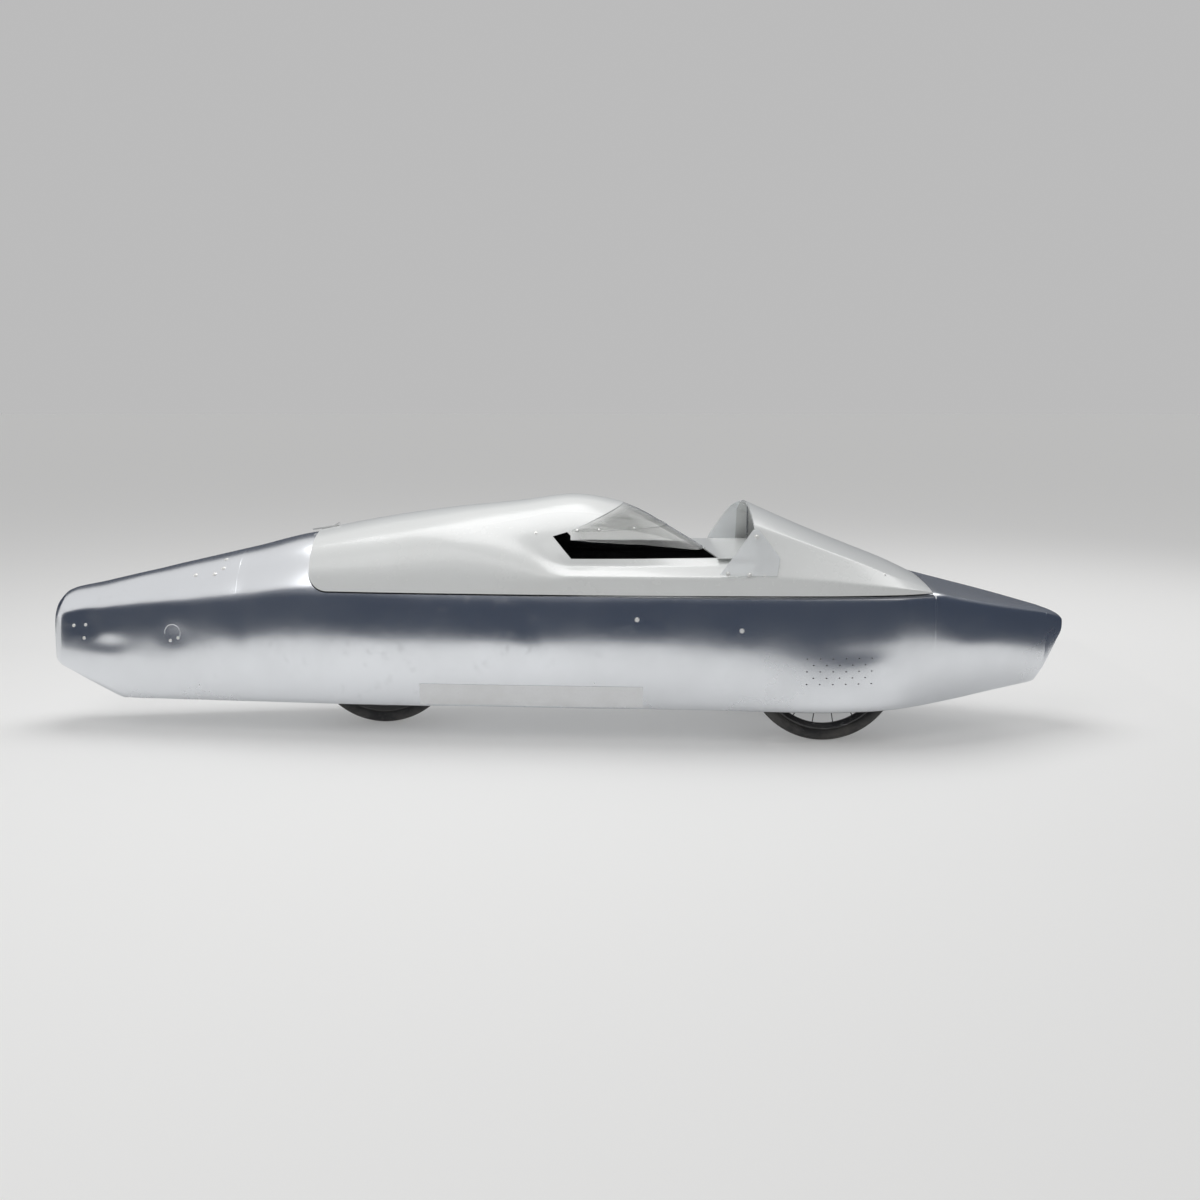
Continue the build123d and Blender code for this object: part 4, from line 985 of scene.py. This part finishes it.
@dataclass
class LidSkin:
    """The white lid: rear fairing, side strips along the opening, and the raised hood in front."""

    base_z: float = 0.477
    wall: float = 0.005
    rear_x: float = -0.780
    hood_x: float = 0.600
    front_x: float = 1.148
    corner_r: float = 0.057
    step: float = 0.012
    # gap between the fairing and the hood, and how far the corner's cutter reaches past the corner
    hood_gap: float = 0.0001
    margin: float = 0.03
    # x, how many passes soften the corners there
    softness: tuple[Flat, ...] = ((-0.780, 90), (-0.350, 60), (-0.060, 24), (0.030, 1))
    # x, side_y, strip_y, strip_z, haunch_y, haunch_z, bulge, crest_z
    rows: tuple[Row, ...] = (
        (-0.780, 0.248, 0.246, 0.505, 0.176, 0.606, 0.018, 0.646),
        (-0.560, 0.278, 0.276, 0.507, 0.190, 0.637, 0.021, 0.687),
        (-0.350, 0.300, 0.298, 0.510, 0.208, 0.662, 0.023, 0.717),
        (-0.133, 0.320, 0.317, 0.521, 0.240, 0.622, 0.012, 0.739),
        (0.038, 0.332, 0.328, 0.533, 0.273, 0.558, 0.001, 0.759),
        (0.215, 0.343, 0.339, 0.533, 0.279, 0.558, 0.001, 0.730),
        (0.330, 0.349, 0.345, 0.533, 0.282, 0.558, 0.001, 0.672),
        (0.600, 0.356, 0.352, 0.533, 0.284, 0.558, 0.001, 0.620),
    )
    # the same measures for the hood, with its ridge as the haunch and flat sides
    hood_rows: tuple[Row, ...] = (
        (0.480, 0.355, 0.351, 0.536, 0.286, 0.728, 0.0, 0.790),
        (0.786, 0.357, 0.353, 0.525, 0.266, 0.619, 0.0, 0.654),
        (0.940, 0.348, 0.345, 0.510, 0.263, 0.562, 0.0, 0.592),
        (1.058, 0.331, 0.329, 0.496, 0.262, 0.516, 0.0, 0.545),
        (1.148, 0.298, 0.297, 0.482, 0.262, 0.487, 0.0, 0.502),
    )
    opening: tuple[Flat, ...] = (
        (0.038, 0.579), (-0.020, 0.645), (0.040, 0.662), (0.215, 0.738), (0.277, 0.900), (0.640, 0.900), (0.640, 0.579),
    )

    def ring(self, row: Sequence[float]) -> Ring:
        """Returns the lid's open cross-section for one row of measures."""
        x, side_y, strip_y, strip_z, haunch_y, haunch_z, bulge, crest_z = row
        run_y, run_z = haunch_y - strip_y, haunch_z - strip_z
        out = bulge / math.hypot(run_y, run_z)
        middle = ((strip_y + haunch_y) / 2 + out * run_z, (strip_z + haunch_z) / 2 - out * run_y)
        shoulder = arc((strip_y, strip_z), middle, (haunch_y, haunch_z), 24)
        crest = over_top((haunch_y, haunch_z), crest_z)
        strip = along([(side_y, self.base_z), (strip_y, strip_z)], 8)
        half = strip[:-1] + along(shoulder, 20)[:-1] + along(crest, 56)
        return section(x, half, round(read(self.softness, x)), closed=False)

    def skin(self, name: str, rows: tuple[Row, ...], start: float, end: float, inside: Finish) -> Piece:
        """Skins the rows from start to end and gives the laminate its thickness and its inner finish."""
        piece = grid_piece(name, [self.ring(row) for row in stations(rows, start, end, self.step)], closed=False)
        thicken(piece, self.wall, WHITE, inside)
        return piece

    def corner_cutter(self) -> Piece:
        """Makes the cutter that rounds the fairing's lower rear corner."""
        x, z = self.rear_x + self.corner_r, self.base_z + self.corner_r
        behind, below = self.rear_x - self.margin, self.base_z - self.margin
        return across_prism([(x, below), *bend((x, z), self.corner_r, 270, -90, 16), (behind, z), (behind, below)])

    def build(self) -> tuple[Piece, Piece]:
        """Builds and dresses the fairing and the hood, and returns both."""
        fairing = self.skin("fairing_skin", self.rows, self.rear_x, self.hood_x, INNER_SHADE_BLACK)
        cut(fairing, [across_prism(self.opening), self.corner_cutter()])
        hood = self.skin("hood_skin", self.hood_rows, self.hood_x + self.hood_gap, self.front_x, WHITE)
        handed_in(fairing, Body.LID, WHITE, ["lid_shell"])
        handed_in(hood, Body.LID, WHITE, ["hood_cowl"])
        return fairing, hood


# Rivets, bolts, vents and the blank strip


class Head(Enum):
    """Kinds of fastener heads: how many sides, and each ring's share of the radius and of the height."""

    RIVET = (14, ((1.0, -0.3), (1.0, 0.1), (0.92, 0.45), (0.7, 0.8), (0.35, 0.97)))
    BOLT = (
        24, ((1.5, -0.3), (1.5, 0.18), (1.45, 0.25), (1.0, 0.25), (1.0, 0.6), (0.85, 0.8), (0.6, 0.93), (0.3, 0.99))
    )

    def reach(self, turn: float, share: float) -> float:
        """Returns how far the head reaches in a direction: a bolt's head is a hexagon on a round washer."""
        if self is Head.BOLT and share <= 1.0:
            return math.cos(math.pi / 6) / math.cos(turn % (math.pi / 3) - math.pi / 6)
        return 1.0


@dataclass
class Fasteners:
    """A set of small fasteners joined into one piece: a domed rivet or a bolt at each place."""

    name: str
    body: Body
    head: Head
    radius: float
    height: float

    def build(self, places: Iterable[tuple[Vector, Vector]]) -> None:
        """Builds and dresses a head on each place and its normal."""
        sides, profile = self.head.value
        turns = [math.tau * i / sides for i in range(sides)]
        shape = Shape()
        for place, normal in places:
            first, second = directions(normal)
            rings: list[Ring] = []
            for share, rise in profile:
                middle = place + normal * (self.height * rise)
                reaches = [self.radius * share * self.head.reach(turn, share) for turn in turns]
                rings.append([
                    middle + first * (reach * math.cos(turn)) + second * (reach * math.sin(turn))
                    for turn, reach in zip(turns, reaches)
                ])
            shape.skin(rings).tip(place + normal * self.height, sides)
        handed_in(shape.piece(self.name), self.body, ZINC_AND_GLINT)


@dataclass
class BodyTrim:
    """Bolts, vents and the blank strip on the aluminium body."""

    skins: list[Piece]
    side_bolts: tuple[Flat, ...] = ((0.240, 0.404), (0.558, 0.3725))
    arc_bolts: tuple[Flat, ...] = ((-1.165, 0.5084), (-1.100, 0.514), (-1.074, 0.531), (-1.0755, 0.554))
    tail_rivets: tuple[Flat, ...] = (
        (-1.565, 0.345), (-1.525, 0.348), (-1.530, 0.306), (-1.2387, 0.3069), (-1.2127, 0.3159),
    )
    # middle, radius, first direction and sweep of the weld arc, and the offset and lift of its rows
    patch: Flat = (-1.2307, 0.3319)
    patch_r: float = 0.026
    patch_turns: Flat = (-35.0, 225.0)
    patch_rows: tuple[Flat, ...] = (
        (-0.0022, -0.0004), (-0.0012, 0.0005), (0.0, 0.0009), (0.0012, 0.0005), (0.0022, -0.0004),
    )
    strip_low: Flat = (-0.437, 0.118)
    strip_high: Flat = (0.260, 0.190)
    strip_lift: float = 0.0006
    vents_from: Flat = (0.758, 0.206)
    vents_step: Flat = (0.0400, 0.0200)
    # half length, half height and lift of each ring of a vent mark
    vent_rings: tuple[Row, ...] = ((0.0040, 0.0026, 0.0001), (0.0034, 0.0021, 0.0004), (0.0028, 0.0016, 0.0001))

    def __post_init__(self) -> None:
        """Reads the faces of the tail and the tub."""
        self.tail_face, self.tub_face = Surface(self.skins[0]), Surface(self.skins[1])

    def patch_ring(self) -> Piece:
        """Builds the low open weld arc round the small patch on the tail's right side."""
        rings: list[Ring] = []
        for i in range(61):
            turn = math.radians(self.patch_turns[0] + self.patch_turns[1] * i / 60)
            line = self.patch_r * (1 + 0.06 * noise.noise(Vector((4 * turn, 0, 0))))
            width = 0.6 + noise.noise(Vector((9 * turn, 5, 0)))
            ring: Ring = []
            for across, lift in self.patch_rows:
                reach = line + across * width
                x, z = self.patch[0] + reach * math.cos(turn), self.patch[1] + reach * math.sin(turn)
                place, normal = self.tail_face.side(x, z)
                ring.append(place + normal * (lift * (1 + 0.4 * noise.noise(place * 70.0))))
            rings.append(ring)
        return grid_piece("patch_ring", rings, closed=False)

    def strip(self) -> Piece:
        """Builds the blank pale strip low on the right side."""
        (rear, low), (front, high) = self.strip_low, self.strip_high
        rings: list[Ring] = []
        for x in np.linspace(rear, front, 60):
            found = [self.tub_face.side(float(x), float(z)) for z in np.linspace(low, high, 10)]
            rings.append([place + normal * self.strip_lift for place, normal in found])
        return grid_piece("blank_strip", rings, closed=False)

    def vents(self, name: str, hand: int) -> Piece:
        """Builds one side's field of small diamond perforations."""
        shape = Shape()
        for row in range(5):
            for column in range(6 - row % 2):
                x = self.vents_from[0] + self.vents_step[0] * (column + 0.5 * (row % 2))
                place, normal = self.tub_face.side(x, self.vents_from[1] + self.vents_step[1] * row, hand)
                first, second = directions(normal)
                rings: list[Ring] = []
                for half_x, half_z, lift in self.vent_rings:
                    corners = (first * half_x, second * half_z, -first * half_x, -second * half_z)
                    rings.append([place + corner + normal * lift for corner in corners])
                shape.skin(rings, ends=(False, True))
        return shape.piece(name)

    def build(self) -> None:
        """Builds and dresses the trim."""
        Fasteners("body_bolts", Body.CHASSIS, Head.BOLT, 0.0050, 0.0030).build(
            face.side(x, z, hand)
            for face, bolts in ((self.tub_face, self.side_bolts), (self.tail_face, self.arc_bolts))
            for x, z in bolts
            for hand in (-1, 1)
        )
        Fasteners("tail_rivets", Body.CHASSIS, Head.RIVET, 0.0055, 0.0018).build(
            self.tail_face.side(x, z) for x, z in self.tail_rivets
        )
        handed_in(self.patch_ring(), Body.CHASSIS, WELD_METAL)
        handed_in(self.strip(), Body.CHASSIS, STICKER)
        for name, hand in (("vents_right", -1), ("vents_left", 1)):
            handed_in(self.vents(name, hand), Body.CHASSIS, VENT_MARK)


@dataclass
class LidTrim:
    """White fading to clear over the bubble, rivets on its seam, bolts on the lid and the hood's corner patches."""

    fairing: Piece
    hood: Piece
    fairing_bolts: tuple[Flat, ...] = ((-0.073, 0.6542),)
    hood_bolts: tuple[Flat, ...] = ((0.6266, 0.5597), (0.6266, 0.5387), (1.006, 0.531))
    gusset_bolts: tuple[Flat, ...] = ((0.515, 0.5448), (0.581, 0.5418), (0.606, 0.652))
    seam_rivets: tuple[Flat, ...] = ((0.056, 0.662644), (0.1245, 0.6632605), (0.235, 0.664255))
    # crest of the bubble, its axis height, its slanted rear edge as (z, x), and the height of its lowest edge
    crest: tuple[Flat, Flat, Flat] = ((0.038, 0.759), (0.208, 0.729), (0.306, 0.682))
    axis_z: float = 0.473
    edge: tuple[Flat, Flat] = ((0.662, 0.0403), (0.738, 0.2153))
    skirt_z: float = 0.634
    fade_width: float = 0.055
    fade_lift: float = 0.0005
    columns: int = 97
    rows: int = 13

    def bubble_r(self, x: float) -> float:
        """Returns the bubble's radius at X."""
        return read(arc(*self.crest, 60), x) - self.axis_z

    def rear_edge(self, z: float) -> float:
        """Returns the X of the bubble's rear edge at a height."""
        (low_z, low_x), (high_z, high_x) = self.edge
        return low_x + max(0.0, z - low_z) / (high_z - low_z) * (high_x - low_x)

    def fade(self) -> Piece:
        """Builds the thin white cover that fades out over the bubble's rear edge."""
        low_x = self.edge[0][1]
        lowest = math.acos((self.skirt_z - self.axis_z) / self.bubble_r(low_x))
        columns: list[Ring] = []
        for turn in np.linspace(-lowest, lowest, self.columns).tolist():
            start = low_x
            for _ in range(30):
                start = 0.5 * (start + self.rear_edge(self.axis_z + self.bubble_r(start) * math.cos(turn)))
            column: Ring = []
            for j in range(self.rows):
                x = start + self.fade_width * (j - 1) / (self.rows - 1)
                r = self.bubble_r(x) + self.fade_lift
                column.append(Vector((x, r * math.sin(turn), self.axis_z + r * math.cos(turn))))
            columns.append(column)
        piece = grid_piece("bubble_fade", columns, closed=False)
        cover = [(1 - j / (self.rows - 1)) ** 1.3 for j in range(self.rows)] * self.columns
        piece.data.attributes.new("fade", "FLOAT", "POINT").data.foreach_set("value", cover)
        return piece

    def build(self) -> None:
        """Builds and dresses the trim."""
        rim = Surface(frame["nodes"]["bubble_rim"])
        Fasteners("rim_rivets", Body.LID, Head.RIVET, 0.0038, 0.0018).build(
            rim.side(x, z, hand) for x, z in self.seam_rivets for hand in (-1, 1)
        )
        handed_in(self.fade(), Body.LID, WHITE_FADE)
        Fasteners("lid_bolts", Body.LID, Head.BOLT, 0.0034, 0.0028).build(
            face.side(x, z, hand)
            for face, bolts in ((Surface(self.fairing), self.fairing_bolts), (Surface(self.hood), self.hood_bolts))
            for x, z in bolts
            for hand in (-1, 1)
        )
        Fasteners("gusset_bolts", Body.LID, Head.BOLT, 0.0050, 0.0040).build(
            Surface(frame["nodes"][name]).side(x, z, hand)
            for name, hand in (("gusset_left", 1), ("gusset_right", -1))
            for x, z in self.gusset_bolts
        )


# Wheels


@dataclass
class Tyre:
    """A road tyre with two grooves round its crown and slanted cuts on its shoulders."""

    name: str
    node: str
    body: Body
    x: float
    y: float
    radius: float = 0.240
    around: int = 216
    # drop from the crown, half width
    profile: tuple[Flat, ...] = (
        (0.0360, 0.0110), (0.0330, 0.0150), (0.0280, 0.0190), (0.0220, 0.0207), (0.0160, 0.0203),
        (0.0115, 0.0190), (0.0075, 0.0165), (0.0052, 0.0148), (0.0032, 0.0112), (0.0018, 0.0082),
        (0.0010, 0.0062), (0.0004, 0.0048), (0.0, 0.0020),
    )
    # which of those points lie in the slanted cuts and in the grooves, and how deep both are
    cuts: range = range(5, 9)
    grooves: range = range(9, 11)
    cut_depth: float = 0.0014
    groove_depth: float = 0.0016

    def build(self) -> None:
        """Builds and dresses the tyre."""
        rings: list[Ring] = []
        for step in range(self.around + 1):
            turn = math.tau * step / self.around
            ring: Ring = []
            for side, shift in ((1, 0), (-1, 3)):
                for index, (drop, half) in list(enumerate(self.profile))[::side]:
                    slanted = index in self.cuts and (step + index + shift) % 6 == 0
                    groove = self.groove_depth if index in self.grooves else 0.0
                    r = self.radius - drop - groove - (self.cut_depth if slanted else 0.0)
                    ring.append(
                        Vector((self.x + r * math.sin(turn), self.y + side * half, self.radius - r * math.cos(turn)))
                    )
            rings.append(ring)
        piece = welded(grid_piece(self.name, rings), 1e-6)
        handed_in(piece, self.body, RUBBER, [self.node], crease=50.0)


# Seat cushions


@dataclass
class Cushion:
    """A crowned, channelled pad with piping along its seam."""

    name: str
    node: str
    origin: Vector
    along: Vector
    out: Vector
    length: float
    width: float
    channels: int
    thickness: float = 0.026
    corner: float = 4.5
    cells: int = 56
    # shares: sides drawn in, crown lost at the edge, channel depth, height of the seam
    tuck: float = 0.022
    fall: float = 0.28
    channel: float = 0.32
    seam: float = 0.34
    # width of a channel, height of the wrinkles, and how far the crown and its highest wrinkle stay below the top
    channel_w: float = 0.006
    wrinkle: float = 0.0012
    crown_gap: float = 0.0012
    top_gap: float = 0.0002
    piping_r: float = 0.0022

    def point(self, u: float, v: float, top: bool) -> Vector:
        """Returns a point of the pad's upper or lower face for u and v from -1 to 1."""
        across = self.along.cross(self.out).normalized()
        reach = max(abs(u), abs(v))
        full = max(1 - reach ** 7, 0.0)
        norm = (abs(u) ** self.corner + abs(v) ** self.corner) ** (1 / self.corner)
        shrink = reach / norm if norm > 1e-6 else 1.0
        tuck = 1 - self.tuck * (1 - (u if abs(v) > abs(u) else v) ** 2)
        x = u * shrink * self.length / 2 * tuck
        y = v * shrink * self.width / 2 * tuck
        seam = self.seam * self.thickness
        if top:
            lines = [2 * k / self.channels - 1 for k in range(1, self.channels)]
            groove = sum(math.exp(-(((u - line) * self.length / 2) / self.channel_w) ** 2) for line in lines)
            crown = (1 - self.fall * (u * u + v * v) / 2) * full ** 0.5 * (1 - self.channel * min(groove, 1.0))
            wrinkle = self.wrinkle * noise.noise(Vector((x, y, 0)) * 22.0) * full
            high = seam + (self.thickness - seam - self.crown_gap) * crown + wrinkle
            lift = min(high, self.thickness - self.top_gap)
        else:
            lift = seam * (1 - full ** 0.35)
        return self.origin + self.along * x + across * y + self.out * lift

    def build(self) -> None:
        """Builds and dresses the cushion."""
        shape = Shape()
        places = [2 * i / self.cells - 1 for i in range(self.cells + 1)]
        for top in (True, False):
            shape.skin([[self.point(u, v, top) for v in places] for u in places], closed=False)
        piece = welded(shape.piece(self.name), 2e-5)
        handed_in(piece, Body.CHASSIS, PAD_CLOTH, [self.node], crease=60.0)
        self.piping()

    def piping(self) -> None:
        """Builds the corded seam round the pad's edge."""
        run = [2 * i / 24 - 1 for i in range(24)]
        sides = ([(t, -1.0) for t in run], [(1.0, t) for t in run], [(-t, 1.0) for t in run], [(-1.0, -t) for t in run])
        loop = [self.point(u, v, False) for side in sides for u, v in side]
        turns = [math.tau * k / 8 for k in range(8)]
        rings: list[Ring] = []
        for before, here, after in zip(loop[-1:] + loop[:-1], loop, loop[1:] + loop[:1]):
            side = (after - before).normalized().cross(self.out).normalized()
            rings.append([here + (side * math.cos(a) + self.out * math.sin(a)) * self.piping_r for a in turns])
        piece = grid_piece(f"{self.name}_piping", rings + rings[:1])
        handed_in(piece, Body.CHASSIS, PIPING, crease=60.0)


@dataclass
class Seat:
    """The seat's three cushions."""

    # upper and lower end of the seat's back, and its shell's thickness
    top: Row = (-0.0585, 0, 0.540)
    hip: Row = (0.330, 0, 0.1506)
    shell: float = 0.0033
    # length, width and channels of the back pad, and how far its middle lies below the back's upper end
    back: tuple[float, float, int] = (0.400, 0.320, 5)
    back_drop: float = 0.210

    def build(self) -> None:
        """Builds the back pad, the base pad and the head rest."""
        forward, left, up = Vector((1, 0, 0)), Vector((0, 1, 0)), Vector((0, 0, 1))
        rise = (Vector(self.top) - Vector(self.hip)).normalized()
        out = Vector((rise.z, 0, -rise.x))
        middle = Vector(self.top) + out * self.shell - rise * self.back_drop
        Cushion("back_cushion", "back_pad", middle, rise, out, *self.back).build()
        low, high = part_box("base_pad")
        size, middle = high - low, (low + high) / 2
        Cushion("base_cushion", "base_pad", Vector((middle.x, 0, low.z)), forward, up, size.x, size.y, 2).build()
        low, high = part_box("head_rest")
        size, middle = high - low, (low + high) / 2
        Cushion("head_cushion", "head_rest", Vector((low.x, 0, middle.z)), left, forward, size.y, size.z, 3).build()


# Studio


@dataclass
class Studio:
    """Pale floor, soft lights, dark reflecting boards and the camera."""

    lens: float = 42.0
    sensor: float = 36.0
    eye: Colour = (0.127, -4.551, 1.133)
    pitch: float = 9.04
    floor_reach: float = 40.0
    floor_paint: Plain = Plain("pale floor", (0.66, 0.66, 0.655), 0.31)
    board_z: float = 1.7
    board_colour: Colour = (0.045, 0.060, 0.095)
    # name, start and end on the floor
    boards: tuple[tuple[str, Flat, Flat], ...] = (
        ("dark board, right", (-4.5, -1.45), (2.2, -1.45)),
        ("dark board, left", (-4.5, 1.45), (2.2, 1.45)),
        ("dark board, front", (2.2, -1.45), (2.2, 1.45)),
    )
    # name, place, size and watts
    lamps: tuple[tuple[str, Colour, float, float], ...] = (
        ("key lamp", (-1.8, -3.4, 4.2), 3.2, 45.0),
        ("top lamp", (-0.4, 0.8, 4.6), 3.0, 106.0),
        ("fill lamp", (3.4, 2.6, 3.2), 3.0, 30.0),
    )
    aim: Colour = (0, 0, 0.3)
    # background colour, and its strength in the light, and more where it is seen and where it is mirrored
    back: Colour = (0.862, 0.86, 0.862)
    back_light: float = 0.45
    back_seen: float = 0.13
    back_mirrored: float = 0.42

    def put(self, name: str, data: bpy.types.ID, place: Row) -> Piece:
        """Puts a lamp or camera in its place."""
        made = bpy.data.objects.new(name, data)
        made.location = place
        bpy.context.scene.collection.objects.link(made)
        return made

    def plane(self, name: str, corners: Sequence[Row], paint: Plain) -> Piece:
        """Lays a flat surface of the set."""
        shape = Shape()
        shape.points, shape.faces = [Vector(corner) for corner in corners], [(0, 1, 2, 3)]
        piece = shape.piece(name)
        piece.data.materials.append(paint.material())
        return piece

    def surfaces(self) -> None:
        """Lays the pale floor and stands the dark boards that only reflections see beside the set."""
        far = self.floor_reach
        self.plane("floor", ((-far, -far, 0), (far, -far, 0), (far, far, 0), (-far, far, 0)), self.floor_paint)
        for name, start, end in self.boards:
            corners = ((*start, 0.002), (*end, 0.002), (*end, self.board_z), (*start, self.board_z))
            board = self.plane(name, corners, Plain(name, self.board_colour))
            board.visible_camera = board.visible_shadow = False
            board.visible_diffuse = board.visible_transmission = False

    def world(self) -> None:
        """Lights the set evenly, with a pale background for the camera, mirrors and glass."""
        world = bpy.data.worlds.new("pale studio")
        world.use_nodes = True
        bpy.context.scene.world = world
        wiring = Wiring(world.node_tree)
        rays = wiring.add("ShaderNodeLightPath").outputs
        seen = wiring.math("MAXIMUM", rays["Is Camera Ray"], rays["Is Transmission Ray"])
        level = wiring.math("ADD", self.back_light, wiring.times(seen, self.back_seen))
        level = wiring.math("ADD", level, wiring.times(rays["Is Glossy Ray"], self.back_mirrored))
        shader = world.node_tree.nodes["Background"].inputs
        wiring.feed(shader["Color"], (*self.back, 1))
        wiring.feed(shader["Strength"], level)

    def build(self) -> None:
        """Builds the studio, with the camera at the photograph's viewing angle."""
        scene = bpy.context.scene
        scene.view_settings.view_transform = "Standard"
        data = bpy.data.cameras.new("camera")
        data.lens = self.lens
        data.sensor_width = self.sensor
        scene.camera = self.put("camera", data, self.eye)
        scene.camera.rotation_euler = (math.radians(90 - self.pitch), 0.0, 0.0)
        self.surfaces()
        self.world()
        for name, place, size, watts in self.lamps:
            data = bpy.data.lights.new(name, "AREA")
            data.shape = "SQUARE"
            data.size = size
            data.energy = watts
            lamp = self.put(name, data, place)
            lamp.rotation_euler = (Vector(self.aim) - Vector(place)).to_track_quat("-Z", "Y").to_euler()


def main() -> None:
    """Builds the studio and every piece."""
    logging.basicConfig(level=logging.INFO, format="%(name)s: %(message)s")
    Studio().build()
    dress_frame()
    skin = BodySkin()
    skin.build()
    BodyTrim(skin.skins).build()
    LidTrim(*LidSkin().build()).build()
    Tyre("front_left_tread", "front_left_tyre", Body.WHEEL_LEFT, 0.830, 0.240).build()
    Tyre("front_right_tread", "front_right_tyre", Body.WHEEL_RIGHT, 0.830, -0.240).build()
    Tyre("rear_tread", "rear_tyre", Body.WHEEL_REAR, -0.587, 0.0).build()
    Seat().build()
    bpy.context.view_layer.update()


if __name__ == "__main__":
    main()
